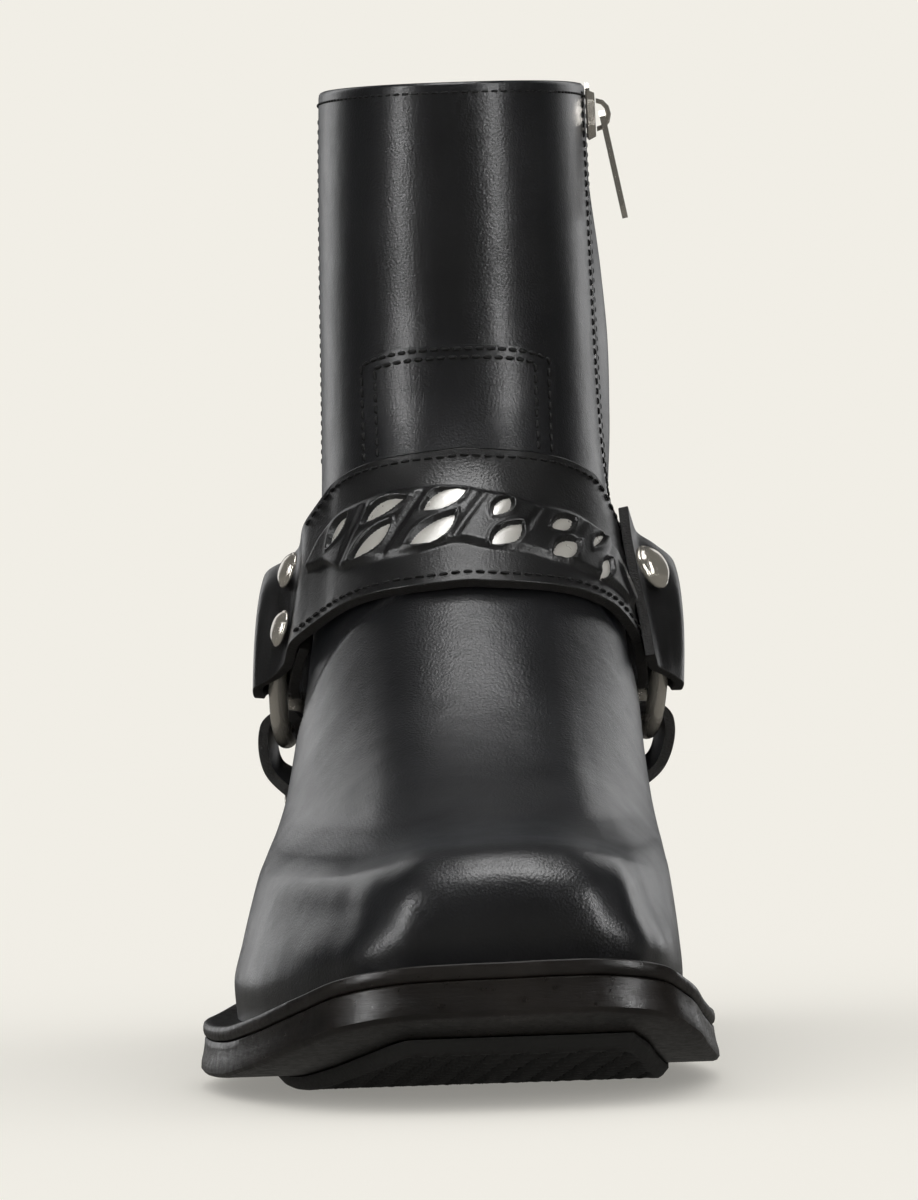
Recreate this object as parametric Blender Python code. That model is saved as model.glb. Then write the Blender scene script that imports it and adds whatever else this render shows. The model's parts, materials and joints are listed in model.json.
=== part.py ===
"""A square-toed harness boot for the right foot, in metres.

The toe points along -Y, the inner (medial) side is +X and +Z is up. The origin is the middle of the heel's
contact with the ground. The upper is one surface skin(around, up): `around` runs once round the foot from the
toe, by the outer (lateral) side first, and `up` runs from the feather line at the sole to the collar. Straps,
patch and zip are cut from that same surface and stand off from it by named clearances.
"""

import math

import bmesh
import bpy
import numpy as np
from mathutils import Vector

# Clearance between two pieces that touch, and between the upper's facets and what is bent over them
GAP = 0.0003
SKIN_GAP = 0.0005

# Sole
SOLE_LENGTH = 0.300
BALL_WIDTH = 0.1125
HEEL_CENTRE = 0.033
HEEL_CENTRE_TO_TOE = SOLE_LENGTH - HEEL_CENTRE
OUTSOLE_THICKNESS = 0.0075
WELT_THICKNESS = 0.0032
WELT_TIP = 0.0006
WALL_FLARE = 0.0027
WELT_MARGIN = 0.0056
SEAT_MARGIN = 0.0030
TOE_SPRING = 0.0161
HEEL_HEIGHT = 0.0340
HEEL_LENGTH = 0.066
HEEL_TAPER = 0.0025
HEEL_CHAMFER = 0.0010
HEEL_SEAT_STEP = 0.0006
TOP_LIFT_THICKNESS = 0.0063
BREAST_HOLLOW = 0.004
TREAD_THICKNESS = 0.0034
TREAD_MARGIN = 0.0085
TREAD_BEVEL = 0.0022
TREAD_FRONT = 0.014
TREAD_BACK = 0.160
INSOLE_THICKNESS = 0.0030

# Upper
WALL = 0.0022
TOE_BOX_HEIGHT = 0.0244
SHAFT_FRONT_HEIGHT = 0.2280
SHAFT_BACK_HEIGHT = 0.2400
SHAFT_WIDTH = 0.0653
SHAFT_DEPTH = 0.125
SHAFT_LEAN = 0.0075
CALF_BULGE = 0.0062
CALF_BULGE_PLACE = 0.655
CALF_BULGE_SPREAD = 0.055

# Zip on the medial side
ZIP_PLACE = 0.700
ZIP_FROM_HEEL = 0.0710
ZIP_TO_TOE = SOLE_LENGTH - ZIP_FROM_HEEL
ZIP_WIDTH = 0.0058
ZIP_THICKNESS = 0.0009
ZIP_GROOVE = 0.0012
GROOVE_WALL = 0.0012
UPPER_GIRTH = 0.310
ZIP_FOOT_HEIGHT = 0.062
ZIP_MARGIN = 0.0003
SLIDER_LENGTH = 0.0120
SLIDER_WIDTH = 0.0080
SLIDER_THICKNESS = 0.0022
SLIDER_DROP = 0.0003
BAIL_HEIGHT = 0.0036
BAIL_WIRE = 0.0012
PULL_LENGTH = 0.0260
PULL_WIDTH = 0.0056
PULL_THICKNESS = 0.0014
PULL_TILT = math.radians(10.0)
PULL_AXIS_HEIGHT = 0.0014
PULL_SLOT_WIDTH = 0.0028
PULL_SLOT_LENGTH = 0.0043
STOP_LENGTH = 0.0013
STOP_THICKNESS = 0.0010
BAIL_SPAN = 0.0070

# Patch on the front of the shaft
PATCH_WIDTH = 0.0445
PATCH_TOP_HEIGHT = 0.1660
PATCH_THICKNESS = 0.0013
PATCH_SHIFT = -0.0010
PATCH_CORNER = 2.8
PATCH_ARCH = 0.006
PATCH_CLEAR = 0.0006
SKIN_RISE = 0.28

# Harness
STRAP_THICKNESS = 0.0024
STRAP_HEIGHT = 0.1242
STRAP_TALL = 0.0325
STRAP_DROP = 0.0255
RING_DIAMETER = 0.0420
RING_WIRE = 0.0046
RING_FROM_HEEL = 0.0800
RING_TO_TOE = SOLE_LENGTH - RING_FROM_HEEL
RING_HEIGHT = 0.0930
RING_LEAN = math.radians(4.0)
LOOP_SLACK = 0.0006
FOLD_LENGTH = 0.0200
RAMP_LENGTH = 0.0120
TAB_LENGTH = 0.0190
TAB_FLARE = 1.38
LANDING_REACH = 0.50
STRAP_END_ANGLE = math.radians(22.0)
STRAP_END_SPREAD = math.radians(50.0)
ARCH_STRAP_SPREAD = math.radians(27.0)
ARCH_STRAP_WIDTH = 0.0180
ARCH_STRAP_FOOT = 0.035
ARCH_BRIDGE = 0.0016
HEEL_STRAP_SPREAD = math.radians(33.0)
HEEL_STRAP_TALL = 0.0225
HEEL_STRAP_HEIGHT = 0.0930
RIVET_DIAMETER = 0.0090
RIVET_HEIGHT = 0.0022
SNAP_DIAMETER = 0.0114
SNAP_HEIGHT = 0.0034
RIVET_PLACES = (0.48, -0.48)
SNAP_ACROSS = 0.25
BUTTON_MARGIN = 0.0008

# Metal leaves of the chain band on the instep strap
LEAF_THICKNESS = 0.0012
LEAF_LENGTH = 0.0112
LEAF_WIDTH = 0.0052

# Fineness of the faceted surfaces
AROUND = 52
UPPER_ROWS = 26
HEEL_COLUMNS = 12
BREAST_COLUMNS = 4
LOOP_STEPS = 4
STRAP_ACROSS = 4
BAND_ROWS = 9
PATCH_COLUMNS = 11
PATCH_ROWS = 6
HEEL_ROWS = 12
LEAF_SEGMENTS = 8
RIVET_ROW = 11
SNAP_ROW = 3
BUTTON_REACH = 2
ZIP_ROWS = 14
BAIL_STEPS = 7
BAIL_SIDES = 6
RING_SEGMENTS = 26
RING_SIDES = 7
BUTTON_SEGMENTS = 10

# Section of the sole's wall, from the ground up.
# inset: metres in from the sole's edge; share: share of the outsole's or the welt's thickness.
OUTSOLE_EDGE = (
    (0.0012, 0.00),
    (0.0000, 0.12),
    (0.0009, 0.55),
    (0.0017, 1.00),
)
WELT_EDGE = (
    (0.0019, 0.0),
    (0.0017, 0.3),
    (0.0021, 0.8),
)

# Dome of a rivet or a snap's cap. radius: share of half its diameter; up: share of its height.
BUTTON_DOME = (
    (0.96, 0.00),
    (1.00, 0.18),
    (0.86, 0.62),
    (0.52, 0.92),
)

# Edge of the sole seen from above, from the middle of the toe to the middle of the heel.
# along: share of SOLE_LENGTH from the toe; across: share of BALL_WIDTH, medial side positive.
LATERAL_EDGE = [
    (0.002, 0.042),
    (0.003, -0.050),
    (0.009, -0.160),
    (0.030, -0.262),
    (0.075, -0.345),
    (0.150, -0.440),
    (0.250, -0.520),
    (0.345, -0.551),
    (0.450, -0.515),
    (0.560, -0.435),
    (0.670, -0.368),
    (0.770, -0.328),
    (0.870, -0.318),
    (0.940, -0.262),
    (0.985, -0.140),
    (1.000, 0.000),
]
MEDIAL_EDGE = [
    (0.002, 0.042),
    (0.000, 0.130),
    (0.003, 0.235),
    (0.020, 0.325),
    (0.060, 0.378),
    (0.130, 0.415),
    (0.210, 0.440),
    (0.285, 0.449),
    (0.380, 0.425),
    (0.500, 0.352),
    (0.610, 0.288),
    (0.710, 0.272),
    (0.790, 0.292),
    (0.875, 0.312),
    (0.940, 0.260),
    (0.985, 0.140),
    (1.000, 0.000),
]

# Underside of the outsole along the foot.
# along: share of SOLE_LENGTH; spring: share of TOE_SPRING; rise: share of the height from tread to heel seat.
UNDERSIDE = [
    (0.00, 1.00, 0.00),
    (0.07, 0.58, 0.00),
    (0.15, 0.22, 0.00),
    (0.22, 0.04, 0.00),
    (0.28, 0.00, 0.00),
    (0.38, 0.00, 0.00),
    (0.46, 0.00, 0.04),
    (0.55, 0.00, 0.17),
    (0.63, 0.00, 0.43),
    (0.71, 0.00, 0.77),
    (0.75, 0.00, 0.95),
    (0.77, 0.00, 1.00),
    (1.00, 0.00, 1.00),
]

# Levels of the upper, from the feather line to the collar. Each level is a closed loop.
# front: share of the way from the toe to the front of the shaft; box: share of TOE_BOX_HEIGHT;
# rise: share of the height left above the toe box; back: share of SHAFT_LEAN; heel: share of the back's height;
# lateral, medial: half widths, shares of the foot's own half width or, as oval grows, of half the shaft's;
# oval: 0 keeps the sole's outline, 1 is the shaft's oval; follow: share of the sole's ups and downs kept;
# bulge: share of CALF_BULGE behind the zip.
LEVEL_COLUMNS = ("front", "box", "rise", "back", "heel", "lateral", "medial", "oval", "follow", "bulge")
LEVELS = [
    (0.000, 0.00, 0.000, 0.00, 0.000, 1.000, 1.000, 0.00, 1.00, 0.00),
    (-0.006, 0.25, 0.000, 0.13, 0.038, 1.008, 1.024, 0.00, 0.95, 0.00),
    (0.002, 0.54, 0.000, 0.15, 0.076, 0.990, 1.028, 0.05, 0.85, 0.00),
    (0.025, 0.80, 0.000, 0.07, 0.112, 0.975, 1.030, 0.12, 0.72, 0.00),
    (0.080, 0.97, 0.000, 0.00, 0.142, 0.968, 1.035, 0.20, 0.60, 0.00),
    (0.175, 1.00, 0.002, -0.13, 0.172, 0.990, 1.065, 0.34, 0.48, 0.00),
    (0.305, 1.00, 0.020, -0.27, 0.203, 1.018, 1.096, 0.50, 0.34, 0.00),
    (0.452, 1.00, 0.073, -0.40, 0.238, 1.050, 1.125, 0.65, 0.20, 0.00),
    (0.600, 1.00, 0.149, -0.47, 0.279, 1.078, 1.150, 0.78, 0.08, 0.00),
    (0.730, 1.00, 0.236, -0.50, 0.324, 1.090, 1.150, 0.88, 0.00, 0.05),
    (0.835, 1.00, 0.320, -0.53, 0.370, 1.092, 1.130, 0.95, 0.00, 0.15),
    (0.923, 1.00, 0.409, -0.50, 0.420, 1.085, 1.100, 1.00, 0.00, 0.35),
    (0.982, 1.00, 0.496, -0.40, 0.480, 1.060, 1.060, 1.00, 0.00, 0.65),
    (1.012, 1.00, 0.589, -0.20, 0.556, 1.047, 1.040, 1.00, 0.00, 0.90),
    (1.018, 1.00, 0.693, 0.13, 0.647, 1.038, 1.030, 1.00, 0.00, 1.00),
    (1.012, 1.00, 0.797, 0.47, 0.743, 1.028, 1.022, 1.00, 0.00, 0.85),
    (1.006, 1.00, 0.901, 0.77, 0.860, 1.014, 1.016, 1.00, 0.00, 0.45),
    (1.000, 1.00, 1.000, 1.00, 1.000, 0.990, 1.010, 1.00, 0.00, 0.00),
]
OVAL_POWER = 2.35
HEEL_RAMP = (0.60, 0.78)

# Course of the instep strap from its middle to a ring.
# reach: share of the way; drop: share of STRAP_DROP; tall: share of STRAP_TALL.
STRAP_COURSE = [
    (0.00, 0.00, 1.00),
    (0.25, 0.07, 1.00),
    (0.50, 0.24, 0.99),
    (0.75, 0.52, 0.96),
    (1.00, 0.90, 0.92),
]

# Rows of leaves: reach of each leaf from the middle of the strap, and its place across the chain band.
# reach: share of the way to the ring, medial positive; above: share of STRAP_TALL above the strap's middle;
# size: share of LEAF_LENGTH; tilt: degrees.
LEAVES = [
    (-0.800, 0.15, 0.75, 62.0),
    (-0.470, 0.30, 1.00, 22.0),
    (-0.520, -0.10, 1.00, 28.0),
    (-0.100, 0.27, 1.05, 4.0),
    (-0.160, -0.12, 1.00, 10.0),
    (0.270, 0.28, 0.60, -6.0),
    (0.300, -0.08, 0.85, -14.0),
    (0.630, 0.30, 0.62, -34.0),
    (0.640, -0.04, 0.75, -40.0),
    (0.860, 0.28, 0.55, -58.0),
    (0.870, -0.10, 0.60, -62.0),
]

LATERAL = -1
MEDIAL = 1

COLOURS = {
    "black_leather": ((0.012, 0.012, 0.013), 0.34, 0.0),
    "sole_edge": ((0.020, 0.014, 0.011), 0.38, 0.0),
    "sole_rubber": ((0.018, 0.018, 0.018), 0.62, 0.0),
    "insole_board": ((0.300, 0.215, 0.135), 0.75, 0.0),
    "nickel": ((0.620, 0.585, 0.530), 0.24, 1.0),
    "brushed_metal": ((0.560, 0.550, 0.530), 0.36, 1.0),
    "zip_metal": ((0.420, 0.415, 0.405), 0.30, 1.0),
}


# Curves through a table

def through(knots, values, at, free=False):
    """Smooth curve through (knots, values), a cubic on each span.

    A slope is the harmonic mean of its two neighbours, and zero at a turn, so that level stretches stay level.
    A free curve takes the slope between its neighbours instead, and may swing past them.
    """
    knots = np.asarray(knots, float)
    values = np.asarray(values, float)
    rises = np.diff(values) / np.diff(knots)
    slopes = np.gradient(values, knots)
    if not free:
        product = rises[:-1] * rises[1:]
        total = rises[:-1] + rises[1:]
        slopes[1:-1] = np.where(product > 0, 2 * product / np.where(product > 0, total, 1.0), 0.0)
        slopes[[0, -1]] = rises[[0, -1]]
    at = np.clip(at, knots[0], knots[-1])
    span = np.clip(np.searchsorted(knots, at, side="right") - 1, 0, len(knots) - 2)
    width = knots[span + 1] - knots[span]
    t = (at - knots[span]) / width
    start = (2 * t**3 - 3 * t**2 + 1) * values[span] + (t**3 - 2 * t**2 + t) * width * slopes[span]
    end = (3 * t**2 - 2 * t**3) * values[span + 1] + (t**3 - t**2) * width * slopes[span + 1]
    return start + end


def ramp(low, high, at):
    """0 below low, 1 above high, and a smooth step between."""
    t = np.clip((at - low) / (high - low), 0.0, 1.0)
    return t * t * (3 - 2 * t)


def mix(a, b, share):
    return a * (1 - share) + b * share


# Outline of the sole

OUTLINE_SAMPLES = 1600
NORMAL_SMOOTHING = 0.014


def closed_outline():
    """Dense closed curve through both edge tables, with inward normals averaged over a short stretch."""
    rows = LATERAL_EDGE + MEDIAL_EDGE[-2:0:-1]
    knots = np.array(rows) * (SOLE_LENGTH, BALL_WIDTH)
    ring = np.vstack([knots[-3:], knots, knots[:4]])
    chord = np.concatenate([[0.0], np.cumsum(np.linalg.norm(np.diff(ring, axis=0), axis=1))])
    heel = chord[3 + len(LATERAL_EDGE) - 1]
    start = chord[3]
    end = chord[3 + len(rows)]
    half = OUTLINE_SAMPLES // 2
    first = np.linspace(start, heel, half, endpoint=False)
    at = np.concatenate([first, np.linspace(heel, end, half, endpoint=False)])
    along = through(chord, ring[:, 0], at, free=True)
    across = through(chord, ring[:, 1], at, free=True)
    back = np.stack([np.roll(along, 1), np.roll(across, 1)], 1)
    ahead = np.stack([np.roll(along, -1), np.roll(across, -1)], 1)
    tangent = ahead - back
    normal = np.stack([-tangent[:, 1], tangent[:, 0]], 1)
    perimeter = np.sum(np.linalg.norm(ahead - back, axis=1)) / 2
    reach = int(NORMAL_SMOOTHING / perimeter * OUTLINE_SAMPLES)
    smooth = sum(np.roll(normal, k, axis=0) for k in range(-reach, reach + 1))
    smooth /= np.linalg.norm(smooth, axis=1)[:, None]
    middle = np.array([along.mean(), across.mean()])
    inward = np.sign(np.sum(smooth * (middle - np.stack([along, across], 1))))
    return along, across, smooth * inward


ALONG, ACROSS, INWARD = closed_outline()


def outline(around, inset):
    """Points (along, across) of the sole's edge moved inwards by inset; around is 0 at the toe, 0.5 at the heel."""
    at = np.mod(around, 1.0) * OUTLINE_SAMPLES
    low = np.floor(at).astype(int) % OUTLINE_SAMPLES
    high = (low + 1) % OUTLINE_SAMPLES
    part = at - np.floor(at)
    along = mix(ALONG[low], ALONG[high], part)
    across = mix(ACROSS[low], ACROSS[high], part)
    normal_along = mix(INWARD[low, 0], INWARD[high, 0], part)
    normal_across = mix(INWARD[low, 1], INWARD[high, 1], part)
    return along + inset * normal_along, across + inset * normal_across


def around_at(depth, side):
    """Where on the outline one side passes a given depth from the toe."""
    half = np.linspace(0.03, 0.47, 400)
    around = half if side == LATERAL else 1.0 - half
    along, _ = outline(around, 0.0)
    return float(np.interp(depth, along, around))


def underside(along):
    """Height of the outsole's underside above the ground."""
    share = along / SOLE_LENGTH
    table = np.array(UNDERSIDE)
    spring = through(table[:, 0], table[:, 1], share)
    rise = through(table[:, 0], table[:, 2], share)
    return TREAD_THICKNESS + TOE_SPRING * spring + (HEEL_HEIGHT - TREAD_THICKNESS) * rise


HEEL_BREAST = SOLE_LENGTH - HEEL_LENGTH


def welt_fade(along):
    """1 where the welt runs, 0 past the heel breast, where the upper stands on the outsole itself."""
    return 1 - ramp(HEEL_BREAST - 0.024, HEEL_BREAST, along)


def feather_height(along):
    """Height of the surface that the upper stands on."""
    top = underside(along) + OUTSOLE_THICKNESS
    welt_top = GAP + np.maximum((GAP + WELT_THICKNESS) * welt_fade(along) - GAP, WELT_TIP)
    behind = ramp(HEEL_BREAST, HEEL_BREAST + WELT_THICKNESS, along)
    return top + np.where(along < HEEL_BREAST, welt_top, (GAP + WELT_TIP) * (1 - behind))


def feather_inset(along):
    share = ramp(HEEL_RAMP[0] * SOLE_LENGTH, HEEL_RAMP[1] * SOLE_LENGTH, along)
    return mix(WALL_FLARE + WELT_MARGIN, WALL_FLARE + SEAT_MARGIN, share)


# The surface of the upper

def crowded(count):
    """Shares from 0 to 1 that crowd near both ends, where the toe and heel curve most."""
    t = np.linspace(0.0, 1.0, count)
    return t - 0.45 * np.sin(2 * math.pi * t) / (2 * math.pi)


def oval_table():
    """Depth share and half-width share of the shaft's oval against its arc length, from front to back."""
    angle = np.linspace(0.0, math.pi, 721)
    cosine = np.cos(angle)
    depth = (1 - np.sign(cosine) * np.abs(cosine) ** (2 / OVAL_POWER)) / 2
    width = np.abs(np.sin(angle)) ** (2 / OVAL_POWER)
    step = np.hypot(np.diff(depth) * SHAFT_DEPTH, np.diff(width) * SHAFT_WIDTH / 2)
    arc = np.concatenate([[0.0], np.cumsum(step)])
    return arc / arc[-1], depth, width


OVAL_ARC, OVAL_DEPTH, OVAL_WIDTH = oval_table()


def feather(around):
    """The feather line: where the upper meets the sole."""
    edge, _ = outline(around, 0.0)
    along, across = outline(around, feather_inset(edge))
    return along, across, feather_height(along) + GAP


FOOT_RING = np.linspace(0.0, 1.0, 1201)
FOOT_ALONG, FOOT_ACROSS, FOOT_UP = feather(FOOT_RING)
FOOT_FRONT = float(FOOT_ALONG.min())
FOOT_BACK = float(FOOT_ALONG.max())
FOOT_LATERAL = float(-FOOT_ACROSS.min())
FOOT_MEDIAL = float(FOOT_ACROSS.max())
FOOT_TOE_HEIGHT = float(FOOT_UP[0])
FOOT_HEEL_HEIGHT = float(FOOT_UP[len(FOOT_RING) // 2])
SHAFT_FRONT = FOOT_BACK + SHAFT_LEAN - SHAFT_DEPTH


FINE = np.linspace(0.0, 1.0, 1701)
LEVEL_CURVES = {
    name: through(np.linspace(0.0, 1.0, len(LEVELS)), [row[k] for row in LEVELS], FINE)
    for k, name in enumerate(LEVEL_COLUMNS)
}


def level(up):
    """All level columns at heights up between 0 and 1."""
    return {name: np.interp(up, FINE, curve) for name, curve in LEVEL_CURVES.items()}


def bare_skin(around, up):
    """The upper's outer surface without the zip's groove, as (along, across, height)."""
    around = np.mod(around, 1.0)
    row = level(up)
    foot_along = np.interp(around, FOOT_RING, FOOT_ALONG)
    foot_across = np.interp(around, FOOT_RING, FOOT_ACROSS)
    foot_up = np.interp(around, FOOT_RING, FOOT_UP)
    share = (foot_along - FOOT_FRONT) / (FOOT_BACK - FOOT_FRONT)
    side = np.where(foot_across < 0, FOOT_LATERAL, FOOT_MEDIAL)
    reach = foot_across / side
    half = np.minimum(around, 1.0 - around) * 2
    sign = np.where(around < 0.5, -1.0, 1.0)
    oval = row["oval"]
    depth = mix(share, np.interp(half, OVAL_ARC, OVAL_DEPTH), oval)
    width = mix(reach, sign * np.interp(half, OVAL_ARC, OVAL_WIDTH), oval)
    front = mix(FOOT_FRONT, SHAFT_FRONT, row["front"])
    back = FOOT_BACK + SHAFT_LEAN * row["back"]
    front_up = FOOT_TOE_HEIGHT + TOE_BOX_HEIGHT * row["box"]
    front_up = front_up + (SHAFT_FRONT_HEIGHT - FOOT_TOE_HEIGHT - TOE_BOX_HEIGHT) * row["rise"]
    back_up = mix(FOOT_HEEL_HEIGHT, SHAFT_BACK_HEIGHT, row["heel"])
    lateral = mix(FOOT_LATERAL, SHAFT_WIDTH / 2, oval) * row["lateral"]
    medial = mix(FOOT_MEDIAL, SHAFT_WIDTH / 2, oval) * row["medial"]
    across = np.where(width < 0, lateral * width, medial * width)
    bump = np.exp(-(((around - CALF_BULGE_PLACE) / CALF_BULGE_SPREAD) ** 2))
    across = across + CALF_BULGE * row["bulge"] * bump
    dips = foot_up - mix(FOOT_TOE_HEIGHT, FOOT_HEEL_HEIGHT, share)
    height = mix(front_up, back_up, depth) + row["follow"] * dips
    along = mix(front, back, depth)
    return np.stack([across, along - HEEL_CENTRE_TO_TOE, height], -1)


STEP = 0.0008


def skin(around, up, lift=0.0):
    """A point of the upper's surface, moved outwards by lift along the surface's own normal."""
    around, up, lift = np.broadcast_arrays(*(np.asarray(part, float) for part in (around, up, lift)))
    low = np.clip(up - STEP, 0.0, 1.0)
    high = np.clip(up + STEP, 0.0, 1.0)
    forward = bare_skin(around + STEP, up) - bare_skin(around - STEP, up)
    upward = bare_skin(around, high) - bare_skin(around, low)
    normal = np.cross(upward, forward)
    normal = normal / np.linalg.norm(normal, axis=-1)[..., None]
    return bare_skin(around, up) + normal * lift[..., None]


def locate(points, around, up):
    """Finds (around, up, lift) of points near the skin by Newton's method, from a first guess."""
    points = np.asarray(points, float)
    guess = np.stack(np.broadcast_arrays(around, up, np.zeros(points.shape[:-1])), -1).astype(float)
    steps = (0.001, 0.001, 0.0001)
    for _ in range(12):
        here = skin(guess[..., 0], guess[..., 1], guess[..., 2])
        columns = []
        for k, step in enumerate(steps):
            moved = guess.copy()
            moved[..., k] += step
            columns.append((skin(moved[..., 0], moved[..., 1], moved[..., 2]) - here) / step)
        jacobian = np.stack(columns, -1)
        change = np.linalg.solve(jacobian, (points - here)[..., None])[..., 0]
        guess += np.clip(change, (-0.03, -0.05, -0.02), (0.03, 0.05, 0.02))
        guess[..., 1] = np.clip(guess[..., 1], 0.0, 1.0)
    return guess[..., 0], guess[..., 1], guess[..., 2]


def up_at_height(around, height):
    """The up value at which the skin reaches a height, for each around, by halving."""
    around, height = np.broadcast_arrays(np.asarray(around, float), np.asarray(height, float))
    low = np.zeros(around.shape)
    high = np.ones(around.shape)
    for _ in range(22):
        middle = (low + high) / 2
        below = bare_skin(around, middle)[..., 2] < height
        low = np.where(below, middle, low)
        high = np.where(below, high, middle)
    return (low + high) / 2


# Objects

MATERIALS = {}


def material(name):
    if name not in MATERIALS:
        colour, roughness, metallic = COLOURS[name]
        made = bpy.data.materials.new(name)
        made.use_nodes = True
        shader = made.node_tree.nodes["Principled BSDF"]
        shader.inputs["Base Color"].default_value = (*colour, 1.0)
        shader.inputs["Roughness"].default_value = roughness
        shader.inputs["Metallic"].default_value = metallic
        MATERIALS[name] = made
    return MATERIALS[name]


def add_object(name, points, faces, finish, origin=(0.0, 0.0, 0.0), smooth=35.0):
    """One closed mesh object with its faces pointing out."""
    home = Vector(origin)
    mesh = bpy.data.meshes.new(name)
    shape = bmesh.new()
    verts = [shape.verts.new(Vector(p) - home) for p in np.asarray(points).tolist()]
    for face in faces:
        shape.faces.new([verts[k] for k in face])
    bmesh.ops.recalc_face_normals(shape, faces=shape.faces)
    if shape.calc_volume(signed=True) < 0:
        bmesh.ops.reverse_faces(shape, faces=shape.faces)
    shape.to_mesh(mesh)
    shape.free()
    mesh.materials.append(material(finish))
    mesh.shade_smooth()
    mesh.set_sharp_from_angle(angle=math.radians(smooth))
    made = bpy.data.objects.new(name, mesh)
    made.location = home
    bpy.context.scene.collection.objects.link(made)
    return made


def slab(name, outer, inner, finish, around=False, **options):
    """A closed sheet between two grids of points (rows, columns, 3); around joins last and first columns."""
    rows, columns = outer.shape[:2]
    points = np.concatenate([outer.reshape(-1, 3), inner.reshape(-1, 3)])
    below = rows * columns
    faces = []
    last = columns if around else columns - 1
    for r in range(rows - 1):
        for c in range(last):
            n = (c + 1) % columns
            quad = (r * columns + c, r * columns + n, (r + 1) * columns + n, (r + 1) * columns + c)
            faces.append(quad)
            faces.append(tuple(below + k for k in reversed(quad)))
    for c in range(last):
        n = (c + 1) % columns
        end = (rows - 1) * columns
        faces.append((c, below + c, below + n, n))
        faces.append((end + n, below + end + n, below + end + c, end + c))
    if not around:
        for r in range(rows - 1):
            a = r * columns
            b = (r + 1) * columns
            faces.append((b, below + b, below + a, a))
            a += columns - 1
            b += columns - 1
            faces.append((a, below + a, below + b, b))
    return add_object(name, points, faces, finish, **options)


def stacked(name, loops, finish, **options):
    """A solid through closed loops of equal count, each listed from its middle front by the lateral side.

    The first and last loops are filled by strips between each pair of points that face each other.
    """
    count = len(loops[0])
    points = np.concatenate(loops)
    faces = []
    for k in range(len(loops) - 1):
        base = k * count
        for c in range(count):
            n = (c + 1) % count
            faces.append((base + c, base + n, base + count + n, base + count + c))
    for base, flip in ((0, True), ((len(loops) - 1) * count, False)):
        strips = [(0, 1, count - 1)]
        strips += [(k, k + 1, count - k - 1, count - k) for k in range(1, count // 2 - 1)]
        strips.append((count // 2 - 1, count // 2, count // 2 + 1))
        for strip in strips:
            face = tuple(base + k for k in strip)
            faces.append(tuple(reversed(face)) if flip else face)
    return add_object(name, points, faces, finish, **options)


def loop_points(along, across, height):
    return np.stack([across, along - HEEL_CENTRE_TO_TOE, height], -1)


def full_ring():
    """The around values of the upper's columns, and of the sole's loops."""
    half = crowded(AROUND // 2 + 1) / 2
    return np.concatenate([half, 1.0 - half[-2:0:-1]])


# Sole

def outsole():
    ring = full_ring()
    loops = []
    for inset, share in OUTSOLE_EDGE:
        along, across = outline(ring, inset)
        loops.append(loop_points(along, across, underside(along) + OUTSOLE_THICKNESS * share))
    return stacked("outsole", loops, "sole_edge")


def welt():
    """Strip from heel breast to heel breast, its outer edge in the sole's wall, its inner under the upper."""
    ring = full_ring()
    ring = np.sort(np.where(ring > 0.5, ring - 1.0, ring))
    edge, _ = outline(ring, 0.0)
    ring = ring[edge < HEEL_BREAST - WELT_THICKNESS]
    edge, _ = outline(ring, 0.0)
    inner = feather_inset(edge) + WALL + GAP
    rows = []
    for inset, share in ((inner, 0.0), *WELT_EDGE, (WALL_FLARE, 1.0), (inner, 1.0)):
        along, across = outline(ring, inset)
        base = underside(along) + OUTSOLE_THICKNESS + GAP
        thickness = np.maximum((WELT_THICKNESS + GAP) * welt_fade(along) - GAP, WELT_TIP)
        rows.append(loop_points(along, across, base + thickness * share))
    rows = np.array(rows)
    count = len(ring)
    faces = []
    for r in range(len(rows)):
        n = (r + 1) % len(rows)
        for c in range(count - 1):
            faces.append((r * count + c, r * count + c + 1, n * count + c + 1, n * count + c))
    faces.append(tuple(r * count for r in range(len(rows))))
    faces.append(tuple(r * count + count - 1 for r in reversed(range(len(rows)))))
    return add_object("welt", rows.reshape(-1, 3), faces, "sole_edge")


def sole_columns(front, back):
    """Around values between two depths: the ring's own columns, with the two depths at the ends."""
    half = crowded(AROUND // 2 + 1) / 2
    lateral = [around_at(front, LATERAL), around_at(back, LATERAL)]
    medial = [1.0 - around_at(front, MEDIAL), 1.0 - around_at(back, MEDIAL)]
    inside = half[(half > max(lateral[0], medial[0])) & (half < min(lateral[1], medial[1]))]
    return np.array([lateral[0], *inside, lateral[1]]), 1.0 - np.array([medial[0], *inside, medial[1]])


def forefoot_tread():
    lateral, medial = sole_columns(TREAD_FRONT, TREAD_BACK)
    loops = []
    for inset, drop in ((TREAD_BEVEL, TREAD_THICKNESS), (0.0, TREAD_THICKNESS - TREAD_BEVEL / 2), (0.0, GAP)):
        left = outline(lateral, TREAD_MARGIN + inset)
        right = outline(medial, TREAD_MARGIN + inset)
        front = max(left[0][0], right[0][0])
        back = min(left[0][-1], right[0][-1]) - inset
        left = (np.clip(left[0], front, back), left[1])
        right = (np.clip(right[0], front, back), right[1])
        first = [(left[1][0] + right[1][0]) / 2]
        last = [(left[1][-1] + right[1][-1]) / 2]
        along = np.concatenate([[front], left[0], [back], right[0][::-1]])
        across = np.concatenate([first, left[1], last, right[1][::-1]])
        loops.append(loop_points(along, across, underside(along) - drop))
    return stacked("forefoot_tread", loops, "sole_rubber")


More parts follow.
